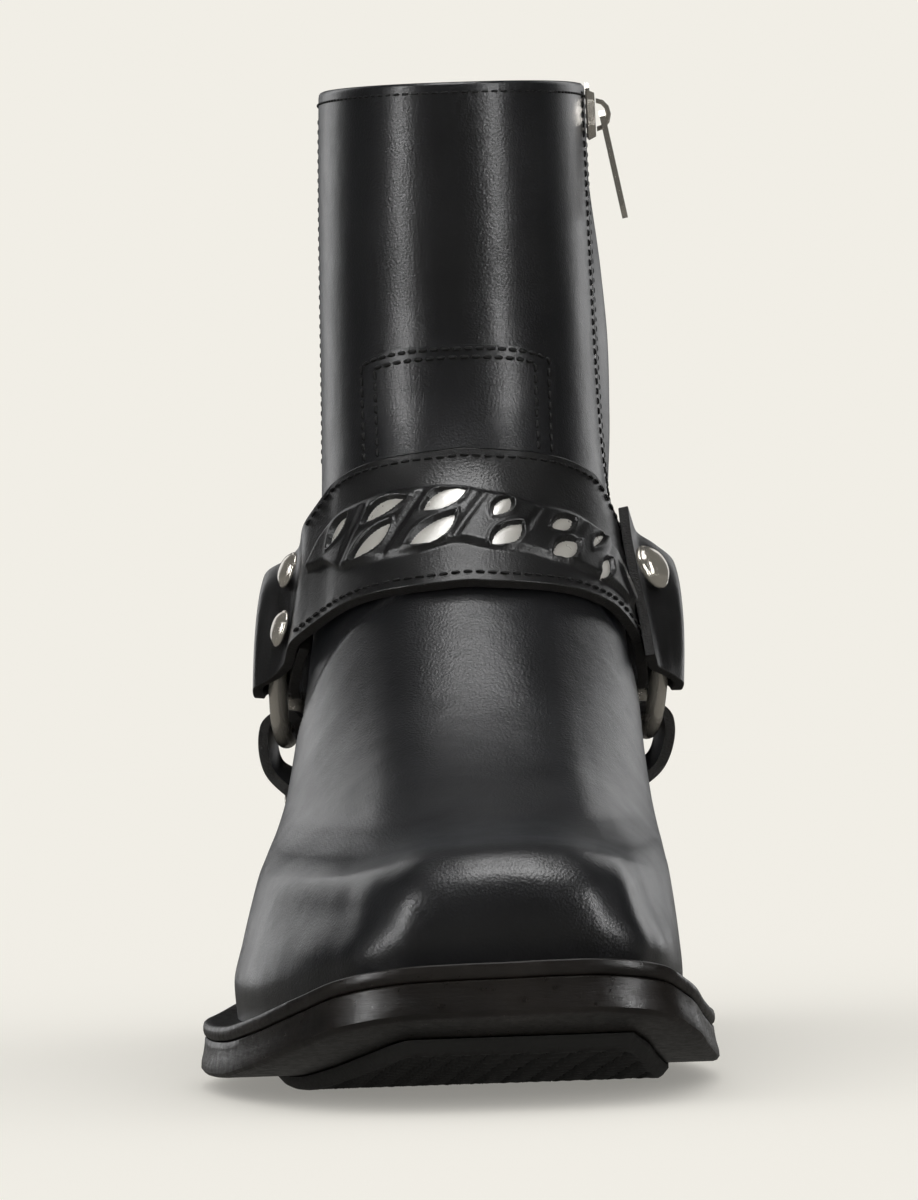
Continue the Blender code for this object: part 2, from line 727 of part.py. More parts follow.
def heel_block(name, levels, finish):
    """Part of the heel between heights; levels are (height, inset) from the ground up."""
    lateral = np.linspace(around_at(HEEL_BREAST, LATERAL), 0.5, HEEL_COLUMNS)[:-1]
    medial = np.linspace(around_at(HEEL_BREAST, MEDIAL), 0.5, HEEL_COLUMNS)[:-1]
    half = np.arange(BREAST_COLUMNS) / BREAST_COLUMNS
    hollow = BREAST_HOLLOW * (1 - half**2)
    loops = []
    for height, inset in levels:
        left = outline(lateral, inset)
        right = outline(medial, inset)
        tail = outline(np.array([0.5]), inset)
        middle = (left[1][0] + right[1][0]) / 2
        front_left = (left[0][0] + hollow, mix(middle, left[1][0], half))
        front_right = (right[0][0] + hollow[1:], mix(middle, right[1][0], half[1:]))
        along = np.concatenate([front_left[0], left[0], tail[0], right[0][::-1], front_right[0][::-1]])
        across = np.concatenate([front_left[1], left[1], tail[1], right[1][::-1], front_right[1][::-1]])
        loops.append(loop_points(along, across, np.full(along.shape, height)))
    return stacked(name, loops, finish)


def heel():
    ground = ((0.0, HEEL_TAPER + HEEL_CHAMFER), (HEEL_CHAMFER, HEEL_TAPER))
    heel_block("heel_top_lift", (*ground, (TOP_LIFT_THICKNESS, HEEL_TAPER)), "sole_rubber")
    stack = ((TOP_LIFT_THICKNESS + GAP, HEEL_TAPER), (HEEL_HEIGHT - GAP, HEEL_SEAT_STEP))
    heel_block("heel_stack", stack, "sole_edge")


def insole():
    ring = full_ring()
    edge, _ = outline(ring, 0.0)
    loops = []
    for share in (0.0, 1.0):
        along, across = outline(ring, feather_inset(edge) + WALL + 3 * GAP)
        height = underside(along) + OUTSOLE_THICKNESS + GAP + INSOLE_THICKNESS * share
        loops.append(loop_points(along, across, height))
    return stacked("insole", loops, "insole_board")


# Upper

def zip_around(up):
    """Where the zip's upright line crosses each level of the upper."""
    up = np.asarray(up, float)
    search = np.linspace(0.55, 0.85, 121)
    found = np.empty(up.shape)
    for index in np.ndindex(up.shape):
        depth = bare_skin(search, np.full(search.shape, up[index]))[:, 1] + HEEL_CENTRE_TO_TOE
        found[index] = np.interp(-ZIP_TO_TOE, -depth, search)
    return found


def upper_grid():
    """Columns and rows of the upper. Columns bend to follow the zip, and four are its groove's edges."""
    half = (ZIP_WIDTH / 2 + 2 * GAP) / UPPER_GIRTH
    wall = GROOVE_WALL / UPPER_GIRTH
    ring = full_ring()
    ring = ring[np.abs(ring - ZIP_PLACE) > half * 2.5]
    edges = ZIP_PLACE + np.array([-half - wall, -half, half, half + wall])
    columns = np.sort(np.concatenate([ring, edges]))
    up = np.linspace(0.0, 1.0, UPPER_ROWS)
    shift = zip_around(up) - ZIP_PLACE
    beside = (0.0, 0.5, ZIP_PLACE - 2 * half, ZIP_PLACE + 2 * half, 0.9, 1.0)
    bend = np.interp(columns, beside, (0, 0, 1, 1, 0, 0))
    around = columns[None, :] + shift[:, None] * bend[None, :]
    in_groove = np.abs(columns - ZIP_PLACE) < half + wall / 2
    foot = float(up_at_height(zip_around(np.array([0.35])), ZIP_FOOT_HEIGHT)[0])
    depth = ZIP_GROOVE * in_groove[None, :] * ramp(foot - 0.085, foot - 0.045, up)[:, None]
    return around, np.broadcast_to(up[:, None], around.shape), depth


def upper():
    around, up, depth = upper_grid()
    outer = skin(around, up, -depth)
    inner = skin(around, up, -depth - WALL)
    inner[0, :, 2] = outer[0, :, 2]
    inner[-1, :, 2] = outer[-1, :, 2]
    return slab("upper", outer, inner, "black_leather", around=True)


# Harness rings

def view_to_skin(target, axes, around, up):
    """Finds (around, up) where two of the skin's three coordinates take target values."""
    target = np.asarray(target, float)
    guess = np.stack(np.broadcast_arrays(around, up, target[..., 0])[:2], -1).astype(float)
    step = 0.001
    for _ in range(14):
        here = bare_skin(guess[..., 0], guess[..., 1])[..., axes]
        slopes = []
        for k in range(2):
            moved = guess.copy()
            moved[..., k] += step
            slopes.append((bare_skin(moved[..., 0], moved[..., 1])[..., axes] - here) / step)
        change = np.linalg.solve(np.stack(slopes, -1), (target - here)[..., None])[..., 0]
        guess += np.clip(change, -0.04, 0.04)
        guess[..., 1] = np.clip(guess[..., 1], 0.0, 0.998)
    return guess[..., 0], guess[..., 1]


FRONT_VIEW = slice(0, 3, 2)
SIDE_VIEW = slice(1, 3)
LAYER = STRAP_THICKNESS / 2 + SKIN_GAP
SECOND_LAYER = LAYER + STRAP_THICKNESS + GAP
LOOP_RADIUS = RING_WIRE / 2 + GAP + LOOP_SLACK + STRAP_THICKNESS / 2
STRAP_PLACES = (STRAP_END_ANGLE, -math.pi / 2, math.pi)
STRAP_SPREADS = (STRAP_END_SPREAD, ARCH_STRAP_SPREAD, HEEL_STRAP_SPREAD)


def ring_point(frame, angle):
    centre, forward, upward, _ = frame
    radius = (RING_DIAMETER - RING_WIRE) / 2
    angle = np.asarray(angle, float)
    return centre + radius * (np.cos(angle)[..., None] * forward + np.sin(angle)[..., None] * upward)


def ring_frame(side):
    """Middle, forward, upward and outward directions of a ring beside the ankle.

    The ring lies along the skin, leans in at its top, and stands off just enough for the straps inside it.
    """
    first = 0.38 if side == LATERAL else 0.62
    place = np.array([[RING_TO_TOE - HEEL_CENTRE_TO_TOE, RING_HEIGHT]])
    around, up = view_to_skin(place, SIDE_VIEW, np.array([first]), np.array([0.45]))
    foot = skin(around, up)[0]
    outward = skin(around, up, 1.0)[0] - foot
    forward = np.array([0.0, -1.0, 0.0])
    forward = forward - outward * np.dot(forward, outward)
    forward = forward / np.linalg.norm(forward)
    upward = np.cross(outward, forward)
    upward = upward * np.sign(upward[2])
    outward, upward = (
        outward * math.cos(RING_LEAN) + upward * math.sin(RING_LEAN),
        upward * math.cos(RING_LEAN) - outward * math.sin(RING_LEAN),
    )
    standoff = LAYER + LOOP_RADIUS
    for _ in range(4):
        frame = (foot + outward * standoff, forward, upward, outward)
        least = min(float(bar_on_skin(frame, side, place, spread)[2].min()) for place, spread in bars())
        standoff += LAYER + LOOP_RADIUS - least
    return frame


def bars():
    return tuple(zip(STRAP_PLACES, STRAP_SPREADS))


def bar_angles(place, spread, flip=1.0):
    return place + flip * spread * ACROSS_STRAP


ACROSS_STRAP = np.linspace(-1.0, 1.0, STRAP_ACROSS + 1)


def bar_on_skin(frame, side, place, spread, flip=1.0):
    """The (around, up, lift) of the ring's wire where a strap goes round it."""
    points = ring_point(frame, bar_angles(place, spread, flip))
    first = 0.38 if side == LATERAL else 0.62
    first = np.full(len(points), first)
    around, up = view_to_skin(points[:, 1:], SIDE_VIEW, first, np.full(len(points), 0.45))
    return locate(points, around, up)


def ring(name, frame):
    _, forward, upward, outward = frame
    major = np.linspace(0.0, 2 * math.pi, RING_SEGMENTS, endpoint=False)
    minor = np.linspace(0.0, 2 * math.pi, RING_SIDES, endpoint=False)
    radial = np.cos(major)[:, None] * forward + np.sin(major)[:, None] * upward
    spokes = np.cos(minor)[None, :, None] * radial[:, None, :] + np.sin(minor)[None, :, None] * outward
    points = ring_point(frame, major)[:, None, :] + spokes * RING_WIRE / 2
    faces = []
    for a in range(RING_SEGMENTS):
        b = (a + 1) % RING_SEGMENTS
        for c in range(RING_SIDES):
            d = (c + 1) % RING_SIDES
            faces.append((a * RING_SIDES + c, b * RING_SIDES + c, b * RING_SIDES + d, a * RING_SIDES + d))
    return add_object(name, points.reshape(-1, 3), faces, "nickel")


# Straps

def turn_rows(frame, place, spread, flip=1.0):
    """Rows of a strap's middle surface round the ring's wire, from its outer side to its inner side."""
    angle = bar_angles(place, spread, flip)
    wire = ring_point(frame, angle)
    centre, _, _, outward = frame
    inward = (centre - wire) / np.linalg.norm(centre - wire, axis=1)[:, None]
    turn = np.linspace(0.0, math.pi, LOOP_STEPS + 1)
    return [wire + LOOP_RADIUS * (math.cos(a) * outward + math.sin(a) * inward) for a in turn]


def lifted_rows(bar, landing, shares, lifts):
    """Rows on the skin from the ring's wire to the landing, at given shares of the way and lifts."""
    rows = []
    for share, lift in zip(shares, lifts):
        around = mix(bar[0], landing[0], share)
        up = mix(bar[1], landing[1], share)
        rows.append(skin(around, up, lift))
    return rows


FOLD_SHARE = FOLD_LENGTH / (FOLD_LENGTH + RAMP_LENGTH)
OUTER_SHARES = np.array([0.12, 0.26, 0.40, FOLD_SHARE + 0.03, 0.82, 1.0])
INNER_SHARES = np.array([0.12, 0.28, 0.46, FOLD_SHARE])


def outer_lifts(bar, shares, bridge):
    """Lift of the outer layer: over the wire, down on the inner layer, then down to bridge above the skin."""
    over = bar[2] + LOOP_RADIUS
    rows = []
    for share in shares:
        onto = mix(over, SECOND_LAYER, ramp(0.09, 0.38, share))
        rows.append(mix(onto, LAYER, ramp(FOLD_SHARE, 1.0, share)) + bridge * ramp(0.0, 0.5, share))
    return rows


def inner_lifts(bar, shares, bridge=0.0):
    """Lift of the layer inside the wire, down to the skin or to a bridge above it."""
    rows = []
    for share in shares:
        onto = mix(bar[2] - LOOP_RADIUS, LAYER, ramp(0.09, 0.38, share))
        rows.append(onto + bridge * ramp(0.0, 0.5, share))
    return rows


def looped_end(frame, side, place, spread, flip, landing, bridge=0.0):
    """Rows from a strap's folded-back end, round the ring's wire and out to its landing on the skin."""
    bar = bar_on_skin(frame, side, place, spread, flip)
    inner = lifted_rows(bar, landing, INNER_SHARES[::-1], inner_lifts(bar, INNER_SHARES, bridge)[::-1])
    turn = turn_rows(frame, place, spread, flip)[::-1]
    outer = lifted_rows(bar, landing, OUTER_SHARES, outer_lifts(bar, OUTER_SHARES, bridge))
    return inner + turn + outer


def thicken(name, rows, finish="black_leather"):
    """A strap from the rows of its middle surface."""
    middle = np.array(rows)
    along = np.gradient(middle, axis=0)
    across = np.gradient(middle, axis=1)
    normal = np.cross(along, across)
    normal = normal / np.linalg.norm(normal, axis=-1)[..., None]
    half = normal * STRAP_THICKNESS / 2
    slab(name, middle + half, middle - half, finish)
    return middle, normal


def strap_heights(reach):
    """Middle height and half height of the instep strap at a share of the way to a ring."""
    table = np.array(STRAP_COURSE)
    drop = through(table[:, 0], table[:, 1], abs(reach))
    tall = through(table[:, 0], table[:, 2], abs(reach))
    return STRAP_HEIGHT - STRAP_DROP * drop, STRAP_TALL * tall / 2


def strap_row(around_ring, reach, spread=1.0):
    """The (around, up) across the strap; reach is -1 at the lateral ring and 1 at the medial one."""
    around = -reach * around_ring
    middle, half = strap_heights(reach)
    heights = middle + half * ACROSS_STRAP * spread
    return np.full(heights.shape, around), up_at_height(np.full(heights.shape, around % 1.0), heights)


def instep_strap(frames):
    """The wide strap: looped at the lateral ring, led under the medial one and folded back as a tab."""
    lateral_bar = bar_on_skin(frames[LATERAL], LATERAL, STRAP_END_ANGLE, STRAP_END_SPREAD)
    bar = bar_on_skin(frames[MEDIAL], MEDIAL, STRAP_END_ANGLE, STRAP_END_SPREAD)
    bar = (bar[0] - 1.0, bar[1], bar[2])
    lateral_ring = float(lateral_bar[0].mean())
    medial_ring = float(-bar[0].mean())
    landing = strap_row(lateral_ring, -LANDING_REACH)
    rows = looped_end(frames[LATERAL], LATERAL, STRAP_END_ANGLE, STRAP_END_SPREAD, 1.0, landing)
    for reach in np.linspace(-LANDING_REACH, LANDING_REACH, 2 * BAND_ROWS - 1)[1:]:
        rows.append(skin(*strap_row(lateral_ring if reach < 0 else medial_ring, reach), LAYER))
    medial_landing = strap_row(medial_ring, LANDING_REACH)
    under = np.array([0.75, 0.50, 0.30, 0.12])
    rows += lifted_rows(bar, medial_landing, under, inner_lifts(bar, under))
    rows += turn_rows(frames[MEDIAL], STRAP_END_ANGLE, STRAP_END_SPREAD)[::-1]
    flared = strap_row(medial_ring, LANDING_REACH, TAB_FLARE)
    tab = np.array([0.12, 0.26, 0.40, 0.50, TAB_LENGTH / (FOLD_LENGTH + RAMP_LENGTH)])
    over = bar[2] + LOOP_RADIUS
    lifts = [mix(over, SECOND_LAYER, ramp(0.09, 0.44, share)) for share in tab]
    rows += lifted_rows(bar, flared, tab, lifts)
    strap = thicken("instep_strap", rows)
    for index, across in enumerate(RIVET_PLACES):
        button_on(f"rivet_instep_{index + 1}", strap, LATERAL, RIVET_ROW, across)
    snap = (SNAP_DIAMETER, SNAP_HEIGHT)
    button_on("snap_cap", strap, MEDIAL, len(rows) - SNAP_ROW, SNAP_ACROSS, snap)
    return lateral_ring, medial_ring


def heel_strap(frames):
    heights = HEEL_STRAP_HEIGHT + ACROSS_STRAP * HEEL_STRAP_TALL / 2
    lateral_bar = bar_on_skin(frames[LATERAL], LATERAL, math.pi, HEEL_STRAP_SPREAD, -1.0)
    medial_bar = bar_on_skin(frames[MEDIAL], MEDIAL, math.pi, HEEL_STRAP_SPREAD, -1.0)
    step = (FOLD_LENGTH + RAMP_LENGTH) / UPPER_GIRTH * 0.8
    start = float(lateral_bar[0].mean()) + step
    end = float(medial_bar[0].mean()) - step
    ends = []
    for frame, side, around in ((frames[LATERAL], LATERAL, start), (frames[MEDIAL], MEDIAL, end)):
        places = np.full(heights.shape, around)
        landing = (places, up_at_height(places, heights))
        ends.append(looped_end(frame, side, math.pi, HEEL_STRAP_SPREAD, -1.0, landing))
    rows = ends[0]
    for around in np.linspace(start, end, HEEL_ROWS)[1:-1]:
        places = np.full(heights.shape, around)
        rows.append(skin(places, up_at_height(places, heights), LAYER))
    rows += ends[1][::-1]
    strap = thicken("heel_strap", rows)
    button_on("rivet_heel_lateral", strap, LATERAL, RIVET_ROW)
    button_on("rivet_heel_medial", strap, MEDIAL, len(rows) - 1 - RIVET_ROW)


def arch_strap(name, frame, side):
    bar = bar_on_skin(frame, side, -math.pi / 2, ARCH_STRAP_SPREAD)
    depths = RING_TO_TOE - ACROSS_STRAP * ARCH_STRAP_WIDTH / 2
    foot = np.full(depths.shape, ARCH_STRAP_FOOT)
    search = np.linspace(0.25, 0.48, 121)
    search = search if side == LATERAL else 1.0 - search
    line = bare_skin(search, np.full(search.shape, ARCH_STRAP_FOOT))[:, 1] + HEEL_CENTRE_TO_TOE
    around = np.interp(depths, line, search)
    rows = looped_end(frame, side, -math.pi / 2, ARCH_STRAP_SPREAD, 1.0, (around, foot), ARCH_BRIDGE)
    strap = thicken(name, rows)
    button_on(name.replace("arch_strap", "rivet_arch"), strap, side, RIVET_ROW)


def harness(frames):
    lateral_ring, medial_ring = instep_strap(frames)
    heel_strap(frames)
    arch_strap("arch_strap_lateral", frames[LATERAL], LATERAL)
    arch_strap("arch_strap_medial", frames[MEDIAL], MEDIAL)
    instep_patch(lateral_ring, medial_ring)
    leaves(lateral_ring, medial_ring)


# Patch, buttons and leaves

def instep_patch(lateral_ring, medial_ring):
    """Leather panel on the shaft's front, from just above the strap to a rounded top."""
    reach = np.linspace(-LANDING_REACH, LANDING_REACH, 41)
    around = -reach * np.where(reach < 0, lateral_ring, medial_ring)
    middle, half = strap_heights(reach)
    up = up_at_height(around % 1.0, middle + half)
    edge = bare_skin(around % 1.0, up)[:, 0]
    shares = np.linspace(-1.0, 1.0, PATCH_COLUMNS)
    across = PATCH_SHIFT + shares * PATCH_WIDTH / 2
    low_around = np.interp(across, edge, around)
    low_up = np.interp(across, edge, up) + PATCH_CLEAR / SKIN_RISE
    top = PATCH_TOP_HEIGHT - PATCH_ARCH * (1 - (1 - np.abs(shares) ** PATCH_CORNER) ** (1 / PATCH_CORNER))
    target = np.stack([across, top], -1)
    top_around, top_up = view_to_skin(target, FRONT_VIEW, low_around, np.full(PATCH_COLUMNS, 0.75))
    share = np.linspace(0.0, 1.0, PATCH_ROWS)[:, None]
    around = mix(low_around, top_around, share)
    up = mix(low_up, top_up, share)
    outer = skin(around, up, SKIN_GAP + PATCH_THICKNESS)
    return slab("instep_patch", outer, skin(around, up, SKIN_GAP), "black_leather")


def button(name, foot, outward, diameter, height, finish="nickel"):
    """A domed round button whose flat back is at foot."""
    outward = Vector(outward).normalized()
    turn = outward.to_track_quat("Z", "Y").to_matrix()
    points = []
    for radius, up in BUTTON_DOME:
        for k in range(BUTTON_SEGMENTS):
            angle = 2 * math.pi * k / BUTTON_SEGMENTS
            out = radius * diameter / 2
            local = Vector((math.cos(angle) * out, math.sin(angle) * out, up * height))
            points.append(tuple(Vector(foot) + turn @ local))
    points.append(tuple(Vector(foot) + turn @ Vector((0.0, 0.0, height))))
    faces = [tuple(range(BUTTON_SEGMENTS))]
    for ring_index in range(len(BUTTON_DOME) - 1):
        for k in range(BUTTON_SEGMENTS):
            n = (k + 1) % BUTTON_SEGMENTS
            a = ring_index * BUTTON_SEGMENTS
            faces.append((a + k, a + n, a + BUTTON_SEGMENTS + n, a + BUTTON_SEGMENTS + k))
    a = (len(BUTTON_DOME) - 1) * BUTTON_SEGMENTS
    for k in range(BUTTON_SEGMENTS):
        faces.append((a + k, a + (k + 1) % BUTTON_SEGMENTS, len(points) - 1))
    return add_object(name, points, faces, finish)


def button_on(name, strap, side, row, across=0.0, size=(RIVET_DIAMETER, RIVET_HEIGHT)):
    """A button on the outer face of a strap, at a row of its middle surface and a share across it.

    Its flat back clears the highest place of the strap's bent face under it.
    """
    middle, normal = strap
    facing = normal * np.sign(normal[row, :, 0].sum() * side)
    near = slice(row - BUTTON_REACH, row + BUTTON_REACH + 1)
    face = finer(finer((middle + facing * STRAP_THICKNESS / 2)[near]))
    place = [float(np.interp(across, ACROSS_STRAP, middle[row, :, k])) for k in range(3)]
    outward = np.array([float(np.interp(across, ACROSS_STRAP, facing[row, :, k])) for k in range(3)])
    outward = outward / np.linalg.norm(outward)
    away = face.reshape(-1, 3) - place
    rise = away @ outward
    covered = np.linalg.norm(away - rise[:, None] * outward, axis=1) < size[0] / 2 + BUTTON_MARGIN
    return button(name, place + outward * (rise[covered].max() + GAP), outward, *size)


def finer(grid):
    """The grid with a row and a column added half way between each pair."""
    for axis in (0, 1):
        grid = np.swapaxes(grid, 0, axis)
        full = np.empty((2 * len(grid) - 1, *grid.shape[1:]))
        full[::2] = grid
        full[1::2] = (grid[1:] + grid[:-1]) / 2
        grid = np.swapaxes(full, 0, axis)
    return grid


def leaf(name, around, up, lift, length, tilt):
    """A domed pointed leaf lying on the strap."""
    step = 0.0005
    here = bare_skin(around, up)
    slope_around = (bare_skin(around + step, up) - here) / step
    slope_up = (bare_skin(around, up + step) - here) / step
    first = -slope_around / np.linalg.norm(slope_around)
    second = slope_up - first * np.dot(slope_up, first)
    second = second / np.linalg.norm(second)
    angle = np.linspace(0.0, 2 * math.pi, LEAF_SEGMENTS, endpoint=False)
    rim_a = np.cos(angle) * length / 2
    rim_b = np.sign(np.sin(angle)) * np.abs(np.sin(angle)) ** 1.5 * LEAF_WIDTH / 2
    turned_a = rim_a * math.cos(tilt) - rim_b * math.sin(tilt)
    turned_b = rim_a * math.sin(tilt) + rim_b * math.cos(tilt)
    layers = []
    for scale, rise in ((1.0, 0.0), (1.0, 0.45), (0.55, 0.90)):
        offset = (turned_a[:, None] * first + turned_b[:, None] * second) * scale
        moves = np.linalg.lstsq(np.stack([slope_around, slope_up], -1), offset.T, rcond=None)[0]
        layers.append(skin(around + moves[0], up + moves[1], lift + LEAF_THICKNESS * rise))
    tip = skin(around, up, lift + LEAF_THICKNESS)
    count = LEAF_SEGMENTS
    points = np.concatenate([*layers, tip[None]])
    faces = [tuple(range(count))]
    for k in range(count):
        n = (k + 1) % count
        faces.append((k, n, count + n, count + k))
        faces.append((count + k, count + n, 2 * count + n, 2 * count + k))
        faces.append((2 * count + k, 2 * count + n, 3 * count))
    return add_object(name, points, faces, "brushed_metal")


def leaves(lateral_ring, medial_ring):
    for index, (reach, above, size, tilt) in enumerate(LEAVES):
        ring_at = lateral_ring if reach < 0 else medial_ring
        middle, _ = strap_heights(reach * LANDING_REACH)
        around = -reach * LANDING_REACH * ring_at
        height = middle + above * STRAP_TALL
        up = float(up_at_height(np.array([around % 1.0]), np.array([height]))[0])
        lift = LAYER + STRAP_THICKNESS / 2 + SKIN_GAP
        leaf(f"chain_leaf_{index + 1:02d}", around, up, lift, LEAF_LENGTH * size, math.radians(tilt))


# Zip

def zip_point(height, off, lift):
    """A point on the zip's line: off is the distance from the line along the skin, towards the heel."""
    height, off, lift = np.broadcast_arrays(*(np.asarray(part, float) for part in (height, off, lift)))
    up = np.full(height.shape, 0.6)
    for _ in range(4):
        up = up_at_height(zip_around(up), height)
    return skin(zip_around(up) - off / UPPER_GIRTH, up, lift)


def zip_top():
    """Height of the collar over the zip."""
    return float(bare_skin(zip_around(np.array([1.0])), np.array([1.0]))[0, 2])


def zip_chain():
    heights = np.linspace(ZIP_FOOT_HEIGHT, zip_top() - ZIP_MARGIN, ZIP_ROWS)[:, None]
    offs = np.linspace(-0.5, 0.5, 5)[None, :] * ZIP_WIDTH
    raised = np.array([0.55, 0.55, 1.0, 0.55, 0.55]) * ZIP_THICKNESS
    base = GAP - ZIP_GROOVE
    outer = zip_point(heights, offs, base + raised)
    return slab("zip_chain", outer, zip_point(heights, offs, base), "zip_metal")


def zip_frame(height):
    """Foot on the skin and the outward, upward and forward directions of a piece on the zip."""
    foot = zip_point(height, 0.0, 0.0)
    outward = zip_point(height, 0.0, 1.0) - foot
    upward = zip_point(height + 0.004, 0.0, 0.0) - zip_point(height - 0.004, 0.0, 0.0)
    upward = upward - outward * np.dot(upward, outward)
    upward = upward / np.linalg.norm(upward)
    return foot, outward, upward, np.cross(outward, upward)


def plate(name, frame, outline_points, lifts, **options):
    """A flat piece on the zip: outline points are (up, forward) in the frame, lifts are (height, scale)."""
    foot, outward, upward, forward = frame
    outline_points = np.asarray(outline_points, float)
    loops = []
    for lift, scale in lifts:
        spread = outline_points * scale
        loops.append(foot + spread[:, :1] * upward + spread[:, 1:] * forward + lift * outward)
    return stacked(name, loops, "zip_metal", **options)


def zip_slider(height):
    """Shield-shaped body on the zip's teeth, broad at the top."""
    frame = zip_frame(height)
    half = SLIDER_LENGTH / 2
    wide = SLIDER_WIDTH / 2
    shield = [
        (half, 0.0),
        (half, wide * 0.7),
        (half * 0.6, wide),
        (-half * 0.5, wide * 0.85),
        (-half, wide * 0.45),
    ]
    mirrored = [(up, -forward) for up, forward in shield[:0:-1]]
    points = shield + [(-half, 0.0)] + mirrored
    top = SKIN_GAP + SLIDER_THICKNESS
    side = SKIN_GAP + 0.2 * SLIDER_THICKNESS
    plate("zip_slider", frame, points, ((SKIN_GAP, 0.92), (side, 1.0), (top, 0.86)))
    return frame, top


def zip_bail(frame, top):
    """Wire arch along the zip, its two feet on the slider."""
    foot, outward, upward, forward = frame
    turn = np.linspace(0.0, math.pi, BAIL_STEPS)
    wire = BAIL_WIRE / 2
    rings = []
    for angle in turn:
        spoke = math.cos(angle) * upward + math.sin(angle) * outward
        middle = foot + BAIL_SPAN / 2 * math.cos(angle) * upward
        middle = middle + (top + GAP + (BAIL_HEIGHT - wire) * math.sin(angle)) * outward
        around = np.linspace(0.0, 2 * math.pi, BAIL_SIDES, endpoint=False)[:, None]
        rings.append(middle + wire * (np.cos(around) * spoke + np.sin(around) * forward))
    points = np.concatenate(rings)
    faces = [tuple(range(BAIL_SIDES)), tuple(reversed(range(len(points) - BAIL_SIDES, len(points))))]
    for k in range(BAIL_STEPS - 1):
        for c in range(BAIL_SIDES):
            n = (c + 1) % BAIL_SIDES
            a = k * BAIL_SIDES
            faces.append((a + c, a + n, a + BAIL_SIDES + n, a + BAIL_SIDES + c))
    return add_object("zip_bail", points, faces, "zip_metal")


def zip_pull(frame, top):
    """Long tab with a slot near its top end, whose cross bar lies under the bail and is the hinge."""
    foot, outward, upward, forward = frame
    axis = foot + (top + GAP + PULL_AXIS_HEIGHT) * outward
    down = -upward * math.cos(PULL_TILT) + outward * math.sin(PULL_TILT)
    face = outward * math.cos(PULL_TILT) + upward * math.sin(PULL_TILT)
    half = PULL_THICKNESS / 2
    wide = PULL_WIDTH / 2
    slot = PULL_SLOT_WIDTH / 2
    end = half + PULL_SLOT_LENGTH
    right_edge = (
        (-half, wide * 0.7),
        (half, wide),
        (end, wide),
        (PULL_LENGTH - wide, wide * 0.9),
        (PULL_LENGTH, wide * 0.4),
    )
    slot_edge = (
        (half, slot * 0.6),
        (half + slot * 0.4, slot),
        (end - slot * 0.4, slot),
        (end, slot * 0.6),
        (end, slot * 0.2),
    )
    outer = [*right_edge, *((t, -w) for t, w in right_edge[::-1])]
    inner = [*slot_edge, *((t, -w) for t, w in slot_edge[::-1])]
    points = []
    for loop in (outer, inner):
        for side in (-half, half):
            points += [axis + t * down + w * forward + side * face for t, w in loop]
    count = len(outer)
    faces = []
    for c in range(count):
        n = (c + 1) % count
        faces.append((c, n, count + n, count + c))
        faces.append((2 * count + n, 2 * count + c, 3 * count + c, 3 * count + n))
        faces.append((count + c, count + n, 3 * count + n, 3 * count + c))
        faces.append((n, c, 2 * count + c, 2 * count + n))
    return add_object("zip_pull", points, faces, "zip_metal", origin=tuple(axis))


def zip_stop():
    frame = zip_frame(zip_top() - ZIP_MARGIN - STOP_LENGTH / 2)
    long = STOP_LENGTH / 2
    wide = ZIP_WIDTH / 2
    points = [(long, 0.0), (long, wide), (-long, wide), (-long, 0.0), (-long, -wide), (long, -wide)]
    return plate("zip_stop", frame, points, ((SKIN_GAP, 1.0), (SKIN_GAP + STOP_THICKNESS, 0.85)))


def zip_pieces():
    zip_chain()
    zip_stop()
    height = zip_top() - ZIP_MARGIN - STOP_LENGTH - SLIDER_DROP - SLIDER_LENGTH / 2
    frame, top = zip_slider(height)
    zip_bail(frame, top)
    zip_pull(frame, top)


# The whole boot

def build():
    for old in list(bpy.data.objects):
        bpy.data.objects.remove(old, do_unlink=True)
    outsole()
    welt()
    forefoot_tread()
    heel()
    insole()
    upper()
    frames = {side: ring_frame(side) for side in (LATERAL, MEDIAL)}
    ring("ring_lateral", frames[LATERAL])
    ring("ring_medial", frames[MEDIAL])
    harness(frames)
    zip_pieces()


build()
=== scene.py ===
# %% [markdown]
# # A harness boot, dressed for its portrait
#
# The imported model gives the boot's true sizes: sole, upper, straps, rings and zip, each as a plain faceted solid.
# This lesson puts finished surfaces over them. Each one is worked out from a formula with numpy, then gets a
# leather, rubber or metal finish. Lengths are in metres; the toe points along -Y, the inner side is +X, +Z is up.

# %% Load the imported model
import json
import math

import bpy
import numpy as np
from mathutils import Matrix, Vector

